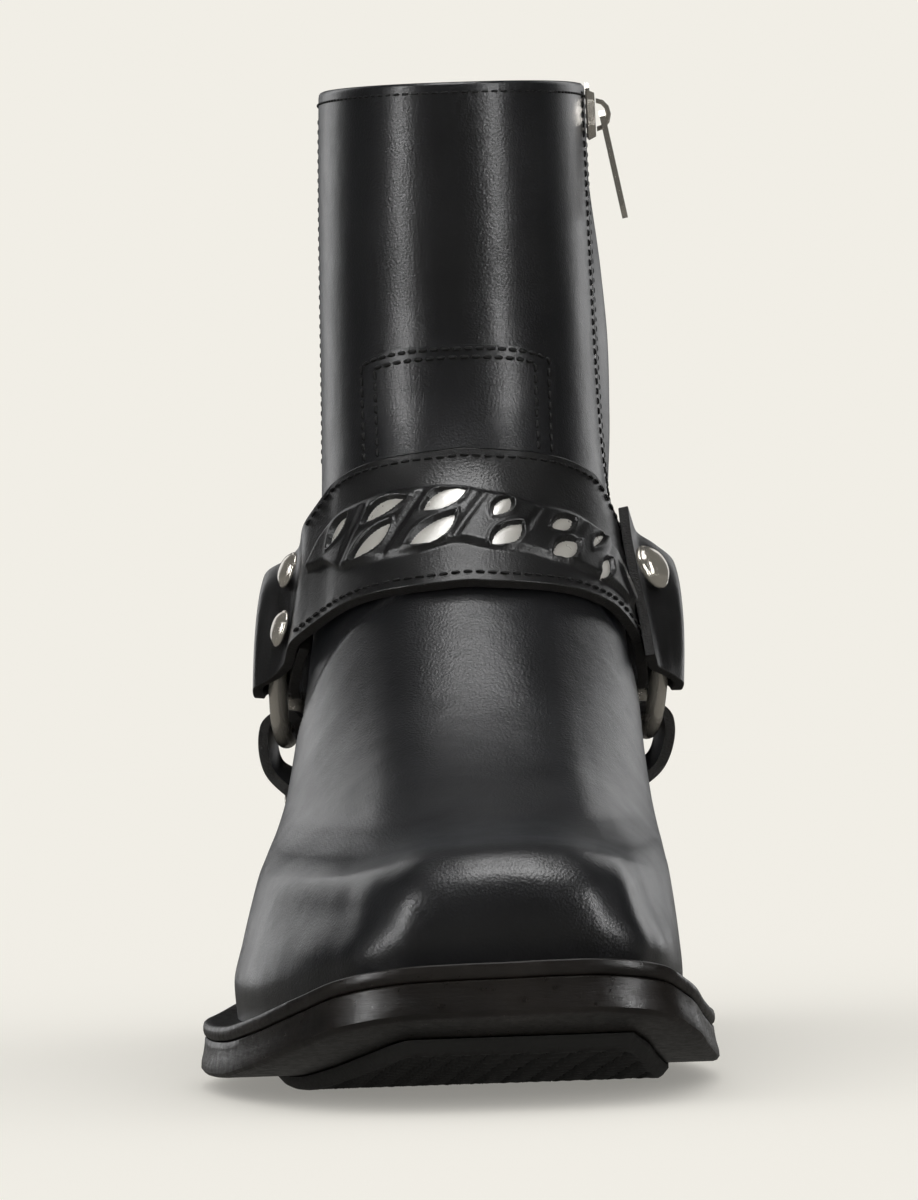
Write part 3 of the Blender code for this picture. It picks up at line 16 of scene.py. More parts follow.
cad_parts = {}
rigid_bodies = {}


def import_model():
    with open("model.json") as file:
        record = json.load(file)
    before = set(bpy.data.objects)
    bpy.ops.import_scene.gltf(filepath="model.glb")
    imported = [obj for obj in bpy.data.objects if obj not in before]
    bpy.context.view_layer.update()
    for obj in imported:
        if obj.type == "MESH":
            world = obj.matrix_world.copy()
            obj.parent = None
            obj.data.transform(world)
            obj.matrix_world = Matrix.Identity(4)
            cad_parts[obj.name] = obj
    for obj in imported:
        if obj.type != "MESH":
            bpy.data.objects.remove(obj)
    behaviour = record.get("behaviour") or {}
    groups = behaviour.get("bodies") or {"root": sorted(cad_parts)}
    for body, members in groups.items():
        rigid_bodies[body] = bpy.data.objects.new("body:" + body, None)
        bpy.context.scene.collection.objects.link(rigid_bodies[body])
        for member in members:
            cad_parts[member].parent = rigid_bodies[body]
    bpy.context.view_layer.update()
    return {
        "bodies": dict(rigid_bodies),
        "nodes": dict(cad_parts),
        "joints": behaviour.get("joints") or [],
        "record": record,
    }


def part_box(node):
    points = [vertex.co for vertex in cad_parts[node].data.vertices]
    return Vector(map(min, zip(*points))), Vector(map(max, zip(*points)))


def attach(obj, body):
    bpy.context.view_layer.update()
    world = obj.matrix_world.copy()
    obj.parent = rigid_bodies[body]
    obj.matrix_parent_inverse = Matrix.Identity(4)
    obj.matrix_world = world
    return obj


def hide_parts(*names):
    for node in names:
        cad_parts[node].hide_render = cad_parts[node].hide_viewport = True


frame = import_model()

# %% [markdown]
# ## Camera
#
# The picture is taken from straight in front, a little above the height of the instep, with a long lens, so the
# boot hardly narrows with distance. The photographer's frame leans two degrees, so the camera is rolled by as much.

# %% Camera
IMAGE = (918, 1200)
CAMERA_PLACE = Vector((-0.0020, -1.2670, 0.0800))
CAMERA_PITCH = math.radians(1.27)
CAMERA_ROLL = math.radians(-2.0)
FOCAL_PIXELS = 5018.0
SENSOR = 36.0

camera_data = bpy.data.cameras.new("portrait")
camera_data.sensor_width = SENSOR
camera_data.lens = FOCAL_PIXELS * SENSOR / IMAGE[1]
camera_data.clip_end = 20.0
camera = bpy.data.objects.new("portrait", camera_data)
level = Matrix.Rotation(math.radians(90) + CAMERA_PITCH, 4, "X")
camera.matrix_world = Matrix.Translation(CAMERA_PLACE) @ level @ Matrix.Rotation(CAMERA_ROLL, 4, "Z")
bpy.context.scene.collection.objects.link(camera)
bpy.context.scene.camera = camera
print(f"lens {camera_data.lens:.1f} mm")

# %% [markdown]
# ## Light and ground
#
# Polished black leather is drawn by what it mirrors. The room is pale and even for the eye and for matt things,
# so the floor has no horizon and only a soft shadow; what shines sees a dim room with white cards in it. Tall
# cards on either side of the camera make the two long streaks down the shaft, cards behind draw the boot's edges,
# and one overhead lies on the toe.

# %% Helpers for meshes and plain materials
def mesh_object(name, points, faces, finish=None, angle=40.0):
    """One mesh from an array of points and rows of corner numbers, smooth up to a crease angle in degrees."""
    mesh = bpy.data.meshes.new(name)
    mesh.from_pydata(
        np.asarray(points, float).reshape(-1, 3).tolist(), [], [list(map(int, f)) for f in faces]
    )
    mesh.validate()
    mesh.shade_smooth()
    mesh.set_sharp_from_angle(angle=math.radians(angle))
    made = bpy.data.objects.new(name, mesh)
    bpy.context.scene.collection.objects.link(made)
    if finish is not None:
        mesh.materials.append(finish)
    return made


def outward(piece):
    """Turns a closed mesh's faces out if its signed volume says that they point in."""
    mesh = piece.data
    mesh.calc_loop_triangles()
    points = np.array([v.co for v in mesh.vertices])
    corners = np.array([t.vertices for t in mesh.loop_triangles])
    a, b, c = points[corners[:, 0]], points[corners[:, 1]], points[corners[:, 2]]
    volume = np.einsum("ij,ij->i", a, np.cross(b, c)).sum() / 6
    if volume < 0:
        mesh.flip_normals()
    return abs(volume)


def grid_faces(rows, columns, around=False):
    """Corner numbers of the quads between neighbours on a grid; around also joins last and first columns."""
    r, c = np.meshgrid(np.arange(rows - 1), np.arange(columns if around else columns - 1), indexing="ij")
    n = (c + 1) % columns
    return np.stack(
        [r * columns + c, r * columns + n, (r + 1) * columns + n, (r + 1) * columns + c], -1
    ).reshape(-1, 4)


def plain_shader(name, colour, roughness=0.5, metallic=0.0, specular=0.5):
    """A material whose shader carries one colour, ready for noise to be linked in."""
    made = bpy.data.materials.new(name)
    made.use_nodes = True
    shader = made.node_tree.nodes["Principled BSDF"]
    shader.inputs["Base Color"].default_value = (*colour, 1.0)
    shader.inputs["Roughness"].default_value = roughness
    shader.inputs["Metallic"].default_value = metallic
    shader.inputs["Specular IOR Level"].default_value = specular
    return made, shader


# %% Helpers for shader nodes
def node(tree, kind, **values):
    """A shader node; each value goes to the input of that name, with spaces for underscores, or to a setting."""
    made = tree.nodes.new(kind)
    for key, value in values.items():
        name = key.replace("_", " ")
        if name in made.inputs:
            made.inputs[name].default_value = value
        else:
            setattr(made, key, value)
    return made


def between(tree, source, low, high, start=0.0, end=1.0):
    """Maps a value from low..high to start..end."""
    made = node(tree, "ShaderNodeMapRange")
    made.inputs["From Min"].default_value = low
    made.inputs["From Max"].default_value = high
    made.inputs["To Min"].default_value = start
    made.inputs["To Max"].default_value = end
    tree.links.new(source, made.inputs["Value"])
    return made.outputs["Result"]


# %% Room and floor
PAPER = (0.879, 0.855, 0.791)
PAPER_MATT = 0.72
ROOM_MIRRORED = 0.022
FLOOR_MIRRORED = 0.10
FLOOR_RADIUS = 7.0


def shining_only(tree, shining, matt):
    """Mixes two shaders: the first is what mirroring surfaces see, the second what all else sees."""
    path = node(tree, "ShaderNodeLightPath")
    mixed = node(tree, "ShaderNodeMixShader")
    tree.links.new(path.outputs["Is Glossy Ray"], mixed.inputs[0])
    tree.links.new(matt, mixed.inputs[1])
    tree.links.new(shining, mixed.inputs[2])
    return mixed.outputs[0]


def glow(tree, colour, strength):
    return node(tree, "ShaderNodeEmission", Color=(*colour, 1.0), Strength=strength).outputs[0]


world = bpy.data.worlds.new("pale_room")
world.use_nodes = True
tree = world.node_tree
tree.nodes.clear()
even = node(tree, "ShaderNodeBackground", Color=(*PAPER, 1.0), Strength=1.0)
dim = node(tree, "ShaderNodeBackground", Color=(0.93, 0.96, 1.0, 1.0), Strength=ROOM_MIRRORED)
ending = node(tree, "ShaderNodeOutputWorld")
tree.links.new(shining_only(tree, dim.outputs[0], even.outputs[0]), ending.inputs["Surface"])
bpy.context.scene.world = world
bpy.context.scene.view_settings.view_transform = "Standard"

paper, paper_shader = plain_shader("paper", (PAPER_MATT,) * 3, 1.0, specular=0.0)
paper_shader.inputs["Emission Color"].default_value = (*PAPER, 1.0)
paper_shader.inputs["Emission Strength"].default_value = 1 - PAPER_MATT
tree = paper.node_tree
ending = tree.nodes["Material Output"]
tree.links.new(
    shining_only(tree, glow(tree, PAPER, FLOOR_MIRRORED), paper_shader.outputs[0]),
    ending.inputs["Surface"]
)
paper.cycles.emission_sampling = "NONE"
turn = np.linspace(0.0, 2 * math.pi, 64, endpoint=False)
disc = np.stack([np.cos(turn), np.sin(turn), np.zeros(64)], -1) * FLOOR_RADIUS
floor = mesh_object("floor", disc, [range(64)], paper)
print("floor", round(floor.dimensions[0], 2), "m across")


# %% Cards
def card(
    name, bearing, height, distance, size, strength, aim=(0.0, -0.08, 0.12), colour=(1.0, 1.0, 1.0),
    soft=0.35
):
    """A white card that only shining surfaces see, brighter in its middle and fading over soft at its edges.

    Bearing is in degrees from the camera's side, to the viewer's right; size is its width and height.
    """
    made = bpy.data.materials.new(name)
    made.use_nodes = True
    tree = made.node_tree
    tree.nodes.clear()
    place = node(tree, "ShaderNodeUVMap")
    apart = node(tree, "ShaderNodeSeparateXYZ")
    tree.links.new(place.outputs["UV"], apart.inputs["Vector"])
    fades = [between(tree, apart.outputs[k], 0.0, soft) for k in (0, 1)]
    both = node(tree, "ShaderNodeMath", operation="MULTIPLY")
    tree.links.new(fades[0], both.inputs[0])
    tree.links.new(fades[1], both.inputs[1])
    lit = node(tree, "ShaderNodeMath", operation="MULTIPLY")
    lit.inputs[1].default_value = strength
    tree.links.new(both.outputs[0], lit.inputs[0])
    emission = node(tree, "ShaderNodeEmission", Color=(*colour, 1.0))
    tree.links.new(lit.outputs[0], emission.inputs["Strength"])
    clear = node(tree, "ShaderNodeBsdfTransparent")
    ending = node(tree, "ShaderNodeOutputMaterial")
    tree.links.new(shining_only(tree, emission.outputs[0], clear.outputs[0]), ending.inputs["Surface"])
    made.cycles.emission_sampling = "NONE"
    turn = math.radians(bearing)
    centre = Vector((math.sin(turn) * distance, -math.cos(turn) * distance, height))
    facing = (Vector(aim) - centre).to_track_quat("-Z", "Y").to_matrix()
    t = np.linspace(-0.5, 0.5, 3)
    spread = np.stack(np.meshgrid(t * size[0], t * size[1], indexing="ij"), -1).reshape(-1, 2)
    points = [centre + facing @ Vector((x, y, 0.0)) for x, y in spread]
    made_card = mesh_object(name, points, grid_faces(3, 3), made)
    layer = made_card.data.uv_layers.new(name="edge")
    corner = np.array([loop.vertex_index for loop in made_card.data.loops])
    layer.data.foreach_set("uv", (1 - np.abs(spread / np.array(size) * 2))[corner].ravel())
    return made_card


card("streak_left", -52.0, 0.50, 1.3, (0.15, 1.3), 15.0)
card("streak_right", 40.0, 0.50, 1.3, (0.14, 1.3), 15.0)
card("overhead", 0.0, 1.30, 0.45, (0.55, 0.45), 8.0)
card("edge_left", -150.0, 0.45, 1.2, (0.5, 1.3), 1.0)
card("edge_right", 150.0, 0.45, 1.2, (0.5, 1.3), 1.0)
card("above", 180.0, 1.40, 0.10, (0.26, 0.6), 6.0)
# %% [markdown]
# ## The boot's sizes
#
# A shoemaker works from a last and a list of measures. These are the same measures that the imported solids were
# made from, so every surface below lands exactly where its solid is. Shares in the tables are of named sizes.

# %% Measures

# Clearance between two pieces that touch, and between the upper's facets and what is bent over them
GAP = 0.0003
SKIN_GAP = 0.0005

# Sole
SOLE_LENGTH = 0.300
BALL_WIDTH = 0.1125
HEEL_CENTRE = 0.033
HEEL_CENTRE_TO_TOE = SOLE_LENGTH - HEEL_CENTRE
OUTSOLE_THICKNESS = 0.0075
WELT_THICKNESS = 0.0032
WELT_TIP = 0.0006
WALL_FLARE = 0.0027
WELT_MARGIN = 0.0056
SEAT_MARGIN = 0.0030
TOE_SPRING = 0.0161
HEEL_HEIGHT = 0.0340
HEEL_LENGTH = 0.066
HEEL_TAPER = 0.0025
HEEL_CHAMFER = 0.0010
HEEL_SEAT_STEP = 0.0006
TOP_LIFT_THICKNESS = 0.0063
BREAST_HOLLOW = 0.004
TREAD_THICKNESS = 0.0034
TREAD_MARGIN = 0.0085
TREAD_FRONT = 0.014
TREAD_BACK = 0.160

# Upper
WALL = 0.0022
TOE_BOX_HEIGHT = 0.0244
SHAFT_FRONT_HEIGHT = 0.2280
SHAFT_BACK_HEIGHT = 0.2400
SHAFT_WIDTH = 0.0653
SHAFT_DEPTH = 0.125
SHAFT_LEAN = 0.0075
CALF_BULGE = 0.0062
CALF_BULGE_PLACE = 0.655
CALF_BULGE_SPREAD = 0.055

# Zip on the medial side
ZIP_PLACE = 0.700
ZIP_FROM_HEEL = 0.0710
ZIP_TO_TOE = SOLE_LENGTH - ZIP_FROM_HEEL
ZIP_WIDTH = 0.0058
ZIP_THICKNESS = 0.0009
ZIP_GROOVE = 0.0012
GROOVE_WALL = 0.0012
UPPER_GIRTH = 0.310
ZIP_FOOT_HEIGHT = 0.062

# Patch on the front of the shaft
PATCH_WIDTH = 0.0445
PATCH_TOP_HEIGHT = 0.1660
PATCH_THICKNESS = 0.0013
PATCH_SHIFT = -0.0010
PATCH_CORNER = 2.8
PATCH_ARCH = 0.006
PATCH_CLEAR = 0.0006
SKIN_RISE = 0.28

# Harness
STRAP_THICKNESS = 0.0024
STRAP_HEIGHT = 0.1242
STRAP_TALL = 0.0325
STRAP_DROP = 0.0255
RING_DIAMETER = 0.0420
RING_WIRE = 0.0046
RING_FROM_HEEL = 0.0800
RING_TO_TOE = SOLE_LENGTH - RING_FROM_HEEL
RING_HEIGHT = 0.0930
RING_LEAN = math.radians(4.0)
LOOP_SLACK = 0.0006
FOLD_LENGTH = 0.0200
RAMP_LENGTH = 0.0120
TAB_LENGTH = 0.0190
TAB_FLARE = 1.38
LANDING_REACH = 0.50
STRAP_END_ANGLE = math.radians(22.0)
STRAP_END_SPREAD = math.radians(50.0)
ARCH_STRAP_SPREAD = math.radians(27.0)
ARCH_STRAP_WIDTH = 0.0180
ARCH_STRAP_FOOT = 0.035
ARCH_BRIDGE = 0.0016
HEEL_STRAP_SPREAD = math.radians(33.0)
HEEL_STRAP_TALL = 0.0225
HEEL_STRAP_HEIGHT = 0.0930


LATERAL = -1
MEDIAL = 1
print(f"sole {SOLE_LENGTH * 1000:.0f} mm, collar {SHAFT_FRONT_HEIGHT * 1000:.0f} mm high in front")

# %% Tables of the sole's edge and of the upper's levels

# Edge of the sole seen from above, from the middle of the toe to the middle of the heel.
# along: share of SOLE_LENGTH from the toe; across: share of BALL_WIDTH, medial side positive.
LATERAL_EDGE = [
    (0.002, 0.042),
    (0.003, -0.050),
    (0.009, -0.160),
    (0.030, -0.262),
    (0.075, -0.345),
    (0.150, -0.440),
    (0.250, -0.520),
    (0.345, -0.551),
    (0.450, -0.515),
    (0.560, -0.435),
    (0.670, -0.368),
    (0.770, -0.328),
    (0.870, -0.318),
    (0.940, -0.262),
    (0.985, -0.140),
    (1.000, 0.000),
]
MEDIAL_EDGE = [
    (0.002, 0.042),
    (0.000, 0.130),
    (0.003, 0.235),
    (0.020, 0.325),
    (0.060, 0.378),
    (0.130, 0.415),
    (0.210, 0.440),
    (0.285, 0.449),
    (0.380, 0.425),
    (0.500, 0.352),
    (0.610, 0.288),
    (0.710, 0.272),
    (0.790, 0.292),
    (0.875, 0.312),
    (0.940, 0.260),
    (0.985, 0.140),
    (1.000, 0.000),
]

# Underside of the outsole along the foot.
# along: share of SOLE_LENGTH; spring: share of TOE_SPRING; rise: share of the height from tread to heel seat.
UNDERSIDE = [
    (0.00, 1.00, 0.00),
    (0.07, 0.58, 0.00),
    (0.15, 0.22, 0.00),
    (0.22, 0.04, 0.00),
    (0.28, 0.00, 0.00),
    (0.38, 0.00, 0.00),
    (0.46, 0.00, 0.04),
    (0.55, 0.00, 0.17),
    (0.63, 0.00, 0.43),
    (0.71, 0.00, 0.77),
    (0.75, 0.00, 0.95),
    (0.77, 0.00, 1.00),
    (1.00, 0.00, 1.00),
]

# Levels of the upper, from the feather line to the collar. Each level is a closed loop.
# front: share of the way from the toe to the front of the shaft; box: share of TOE_BOX_HEIGHT;
# rise: share of the height left above the toe box; back: share of SHAFT_LEAN; heel: share of the back's height;
# lateral, medial: half widths, shares of the foot's own half width or, as oval grows, of half the shaft's;
# oval: 0 keeps the sole's outline, 1 is the shaft's oval; follow: share of the sole's ups and downs kept;
# bulge: share of CALF_BULGE behind the zip.
LEVEL_COLUMNS = ("front", "box", "rise", "back", "heel", "lateral", "medial", "oval", "follow", "bulge")
LEVELS = [
    (0.000, 0.00, 0.000, 0.00, 0.000, 1.000, 1.000, 0.00, 1.00, 0.00),
    (-0.006, 0.25, 0.000, 0.13, 0.038, 1.008, 1.024, 0.00, 0.95, 0.00),
    (0.002, 0.54, 0.000, 0.15, 0.076, 0.990, 1.028, 0.05, 0.85, 0.00),
    (0.025, 0.80, 0.000, 0.07, 0.112, 0.975, 1.030, 0.12, 0.72, 0.00),
    (0.080, 0.97, 0.000, 0.00, 0.142, 0.968, 1.035, 0.20, 0.60, 0.00),
    (0.175, 1.00, 0.002, -0.13, 0.172, 0.990, 1.065, 0.34, 0.48, 0.00),
    (0.305, 1.00, 0.020, -0.27, 0.203, 1.018, 1.096, 0.50, 0.34, 0.00),
    (0.452, 1.00, 0.073, -0.40, 0.238, 1.050, 1.125, 0.65, 0.20, 0.00),
    (0.600, 1.00, 0.149, -0.47, 0.279, 1.078, 1.150, 0.78, 0.08, 0.00),
    (0.730, 1.00, 0.236, -0.50, 0.324, 1.090, 1.150, 0.88, 0.00, 0.05),
    (0.835, 1.00, 0.320, -0.53, 0.370, 1.092, 1.130, 0.95, 0.00, 0.15),
    (0.923, 1.00, 0.409, -0.50, 0.420, 1.085, 1.100, 1.00, 0.00, 0.35),
    (0.982, 1.00, 0.496, -0.40, 0.480, 1.060, 1.060, 1.00, 0.00, 0.65),
    (1.012, 1.00, 0.589, -0.20, 0.556, 1.047, 1.040, 1.00, 0.00, 0.90),
    (1.018, 1.00, 0.693, 0.13, 0.647, 1.038, 1.030, 1.00, 0.00, 1.00),
    (1.012, 1.00, 0.797, 0.47, 0.743, 1.028, 1.022, 1.00, 0.00, 0.85),
    (1.006, 1.00, 0.901, 0.77, 0.860, 1.014, 1.016, 1.00, 0.00, 0.45),
    (1.000, 1.00, 1.000, 1.00, 1.000, 0.990, 1.010, 1.00, 0.00, 0.00),
]
OVAL_POWER = 2.35
HEEL_RAMP = (0.60, 0.78)

# Course of the instep strap from its middle to a ring.
# reach: share of the way; drop: share of STRAP_DROP; tall: share of STRAP_TALL.
STRAP_COURSE = [
    (0.00, 0.00, 1.00),
    (0.25, 0.07, 1.00),
    (0.50, 0.24, 0.99),
    (0.75, 0.52, 0.96),
    (1.00, 0.90, 0.92),
]


# %% [markdown]
# ## Smooth curves through few points
#
# Each table holds a handful of chosen points. A cubic on each span joins them; where a stretch must stay level,
# the slope is the harmonic mean of its neighbours, which never overshoots.

# %% Curves

def through(knots, values, at, free=False):
    """Smooth curve through (knots, values), a cubic on each span.

    A slope is the harmonic mean of its two neighbours, and zero at a turn, so that level stretches stay level.
    A free curve takes the slope between its neighbours instead, and may swing past them.
    """
    knots = np.asarray(knots, float)
    values = np.asarray(values, float)
    rises = np.diff(values) / np.diff(knots)
    slopes = np.gradient(values, knots)
    if not free:
        product = rises[:-1] * rises[1:]
        total = rises[:-1] + rises[1:]
        slopes[1:-1] = np.where(product > 0, 2 * product / np.where(product > 0, total, 1.0), 0.0)
        slopes[[0, -1]] = rises[[0, -1]]
    at = np.clip(at, knots[0], knots[-1])
    span = np.clip(np.searchsorted(knots, at, side="right") - 1, 0, len(knots) - 2)
    width = knots[span + 1] - knots[span]
    t = (at - knots[span]) / width
    start = (2 * t**3 - 3 * t**2 + 1) * values[span] + (t**3 - 2 * t**2 + t) * width * slopes[span]
    end = (3 * t**2 - 2 * t**3) * values[span + 1] + (t**3 - t**2) * width * slopes[span + 1]
    return start + end


def ramp(low, high, at):
    """0 below low, 1 above high, and a smooth step between."""
    t = np.clip((at - low) / (high - low), 0.0, 1.0)
    return t * t * (3 - 2 * t)


def mix(a, b, share):
    return a * (1 - share) + b * share


# %% [markdown]
# ## Outline and underside of the sole
#
# The sole is cut to an outline seen from above, and bent seen from the side: level under the ball, sprung up at
# the toe, and rising at the waist to the heel seat.

# %% Outline

OUTLINE_SAMPLES = 1600
NORMAL_SMOOTHING = 0.014


def closed_outline():
    """Dense closed curve through both edge tables, with inward normals averaged over a short stretch."""
    rows = LATERAL_EDGE + MEDIAL_EDGE[-2:0:-1]
    knots = np.array(rows) * (SOLE_LENGTH, BALL_WIDTH)
    ring = np.vstack([knots[-3:], knots, knots[:4]])
    chord = np.concatenate([[0.0], np.cumsum(np.linalg.norm(np.diff(ring, axis=0), axis=1))])
    heel = chord[3 + len(LATERAL_EDGE) - 1]
    start = chord[3]
    end = chord[3 + len(rows)]
    half = OUTLINE_SAMPLES // 2
    first = np.linspace(start, heel, half, endpoint=False)
    at = np.concatenate([first, np.linspace(heel, end, half, endpoint=False)])
    along = through(chord, ring[:, 0], at, free=True)
    across = through(chord, ring[:, 1], at, free=True)
    back = np.stack([np.roll(along, 1), np.roll(across, 1)], 1)
    ahead = np.stack([np.roll(along, -1), np.roll(across, -1)], 1)
    tangent = ahead - back
    normal = np.stack([-tangent[:, 1], tangent[:, 0]], 1)
    perimeter = np.sum(np.linalg.norm(ahead - back, axis=1)) / 2
    reach = int(NORMAL_SMOOTHING / perimeter * OUTLINE_SAMPLES)
    smooth = sum(np.roll(normal, k, axis=0) for k in range(-reach, reach + 1))
    smooth /= np.linalg.norm(smooth, axis=1)[:, None]
    middle = np.array([along.mean(), across.mean()])
    inward = np.sign(np.sum(smooth * (middle - np.stack([along, across], 1))))
    return along, across, smooth * inward


ALONG, ACROSS, INWARD = closed_outline()


def outline(around, inset):
    """Points (along, across) of the sole's edge moved inwards by inset; around is 0 at the toe, 0.5 at the heel."""
    at = np.mod(around, 1.0) * OUTLINE_SAMPLES
    low = np.floor(at).astype(int) % OUTLINE_SAMPLES
    high = (low + 1) % OUTLINE_SAMPLES
    part = at - np.floor(at)
    along = mix(ALONG[low], ALONG[high], part)
    across = mix(ACROSS[low], ACROSS[high], part)
    normal_along = mix(INWARD[low, 0], INWARD[high, 0], part)
    normal_across = mix(INWARD[low, 1], INWARD[high, 1], part)
    return along + inset * normal_along, across + inset * normal_across


def underside(along):
    """Height of the outsole's underside above the ground."""
    share = along / SOLE_LENGTH
    table = np.array(UNDERSIDE)
    spring = through(table[:, 0], table[:, 1], share)
    rise = through(table[:, 0], table[:, 2], share)
    return TREAD_THICKNESS + TOE_SPRING * spring + (HEEL_HEIGHT - TREAD_THICKNESS) * rise


HEEL_BREAST = SOLE_LENGTH - HEEL_LENGTH


def welt_fade(along):
    """1 where the welt runs, 0 past the heel breast, where the upper stands on the outsole itself."""
    return 1 - ramp(HEEL_BREAST - 0.024, HEEL_BREAST, along)


def feather_height(along):
    """Height of the surface that the upper stands on."""
    top = underside(along) + OUTSOLE_THICKNESS
    welt_top = GAP + np.maximum((GAP + WELT_THICKNESS) * welt_fade(along) - GAP, WELT_TIP)
    behind = ramp(HEEL_BREAST, HEEL_BREAST + WELT_THICKNESS, along)
    return top + np.where(along < HEEL_BREAST, welt_top, (GAP + WELT_TIP) * (1 - behind))


def feather_inset(along):
    share = ramp(HEEL_RAMP[0] * SOLE_LENGTH, HEEL_RAMP[1] * SOLE_LENGTH, along)
    return mix(WALL_FLARE + WELT_MARGIN, WALL_FLARE + SEAT_MARGIN, share)


# %% [markdown]
# ## One skin for the whole upper
#
# A leather upper is pulled over a last, so it is one smooth surface from the sole to the collar. Here it is a
# function skin(around, up, lift): around runs once round the foot from the toe by the outer side, up from the sole
# to the collar, and lift moves out along the surface's own normal. Straps, stitches, patch and zip are all laid on
# it by the same two numbers, so they follow every curve of the boot.

# %% Skin

def oval_table():
    """Depth share and half-width share of the shaft's oval against its arc length, from front to back."""
    angle = np.linspace(0.0, math.pi, 721)
    cosine = np.cos(angle)
    depth = (1 - np.sign(cosine) * np.abs(cosine) ** (2 / OVAL_POWER)) / 2
    width = np.abs(np.sin(angle)) ** (2 / OVAL_POWER)
    step = np.hypot(np.diff(depth) * SHAFT_DEPTH, np.diff(width) * SHAFT_WIDTH / 2)
    arc = np.concatenate([[0.0], np.cumsum(step)])
    return arc / arc[-1], depth, width


OVAL_ARC, OVAL_DEPTH, OVAL_WIDTH = oval_table()


def feather(around):
    """The feather line: where the upper meets the sole."""
    edge, _ = outline(around, 0.0)
    along, across = outline(around, feather_inset(edge))
    return along, across, feather_height(along) + GAP


FOOT_RING = np.linspace(0.0, 1.0, 1201)
FOOT_ALONG, FOOT_ACROSS, FOOT_UP = feather(FOOT_RING)
FOOT_FRONT = float(FOOT_ALONG.min())
FOOT_BACK = float(FOOT_ALONG.max())
FOOT_LATERAL = float(-FOOT_ACROSS.min())
FOOT_MEDIAL = float(FOOT_ACROSS.max())
FOOT_TOE_HEIGHT = float(FOOT_UP[0])
FOOT_HEEL_HEIGHT = float(FOOT_UP[len(FOOT_RING) // 2])
SHAFT_FRONT = FOOT_BACK + SHAFT_LEAN - SHAFT_DEPTH


FINE = np.linspace(0.0, 1.0, 1701)
LEVEL_CURVES = {
    name: through(np.linspace(0.0, 1.0, len(LEVELS)), [row[k] for row in LEVELS], FINE)
    for k, name in enumerate(LEVEL_COLUMNS)
}


def level(up):
    """All level columns at heights up between 0 and 1."""
    return {name: np.interp(up, FINE, curve) for name, curve in LEVEL_CURVES.items()}


def bare_skin(around, up):
    """The upper's outer surface without the zip's groove, as (along, across, height)."""
    around = np.mod(around, 1.0)
    row = level(up)
    foot_along = np.interp(around, FOOT_RING, FOOT_ALONG)
    foot_across = np.interp(around, FOOT_RING, FOOT_ACROSS)
    foot_up = np.interp(around, FOOT_RING, FOOT_UP)
    share = (foot_along - FOOT_FRONT) / (FOOT_BACK - FOOT_FRONT)
    side = np.where(foot_across < 0, FOOT_LATERAL, FOOT_MEDIAL)
    reach = foot_across / side
    half = np.minimum(around, 1.0 - around) * 2
    sign = np.where(around < 0.5, -1.0, 1.0)
    oval = row["oval"]
    depth = mix(share, np.interp(half, OVAL_ARC, OVAL_DEPTH), oval)
    width = mix(reach, sign * np.interp(half, OVAL_ARC, OVAL_WIDTH), oval)
    front = mix(FOOT_FRONT, SHAFT_FRONT, row["front"])
    back = FOOT_BACK + SHAFT_LEAN * row["back"]
    front_up = FOOT_TOE_HEIGHT + TOE_BOX_HEIGHT * row["box"]
    front_up = front_up + (SHAFT_FRONT_HEIGHT - FOOT_TOE_HEIGHT - TOE_BOX_HEIGHT) * row["rise"]
    back_up = mix(FOOT_HEEL_HEIGHT, SHAFT_BACK_HEIGHT, row["heel"])
    lateral = mix(FOOT_LATERAL, SHAFT_WIDTH / 2, oval) * row["lateral"]
    medial = mix(FOOT_MEDIAL, SHAFT_WIDTH / 2, oval) * row["medial"]
    across = np.where(width < 0, lateral * width, medial * width)
    bump = np.exp(-(((around - CALF_BULGE_PLACE) / CALF_BULGE_SPREAD) ** 2))
    across = across + CALF_BULGE * row["bulge"] * bump
    dips = foot_up - mix(FOOT_TOE_HEIGHT, FOOT_HEEL_HEIGHT, share)
    height = mix(front_up, back_up, depth) + row["follow"] * dips
    along = mix(front, back, depth)
    return np.stack([across, along - HEEL_CENTRE_TO_TOE, height], -1)


STEP = 0.0008


def skin(around, up, lift=0.0):
    """A point of the upper's surface, moved outwards by lift along the surface's own normal."""
    around, up, lift = np.broadcast_arrays(*(np.asarray(part, float) for part in (around, up, lift)))
    low = np.clip(up - STEP, 0.0, 1.0)
    high = np.clip(up + STEP, 0.0, 1.0)
    forward = bare_skin(around + STEP, up) - bare_skin(around - STEP, up)
    upward = bare_skin(around, high) - bare_skin(around, low)
    normal = np.cross(upward, forward)
    normal = normal / np.linalg.norm(normal, axis=-1)[..., None]
    return bare_skin(around, up) + normal * lift[..., None]


def locate(points, around, up):
    """Finds (around, up, lift) of points near the skin by Newton's method, from a first guess."""
    points = np.asarray(points, float)
    guess = np.stack(np.broadcast_arrays(around, up, np.zeros(points.shape[:-1])), -1).astype(float)
    steps = (0.001, 0.001, 0.0001)
    for _ in range(12):
        here = skin(guess[..., 0], guess[..., 1], guess[..., 2])
        columns = []
        for k, step in enumerate(steps):
            moved = guess.copy()
            moved[..., k] += step
            columns.append((skin(moved[..., 0], moved[..., 1], moved[..., 2]) - here) / step)
        jacobian = np.stack(columns, -1)
        change = np.linalg.solve(jacobian, (points - here)[..., None])[..., 0]
        guess += np.clip(change, (-0.03, -0.05, -0.02), (0.03, 0.05, 0.02))
        guess[..., 1] = np.clip(guess[..., 1], 0.0, 1.0)
    return guess[..., 0], guess[..., 1], guess[..., 2]


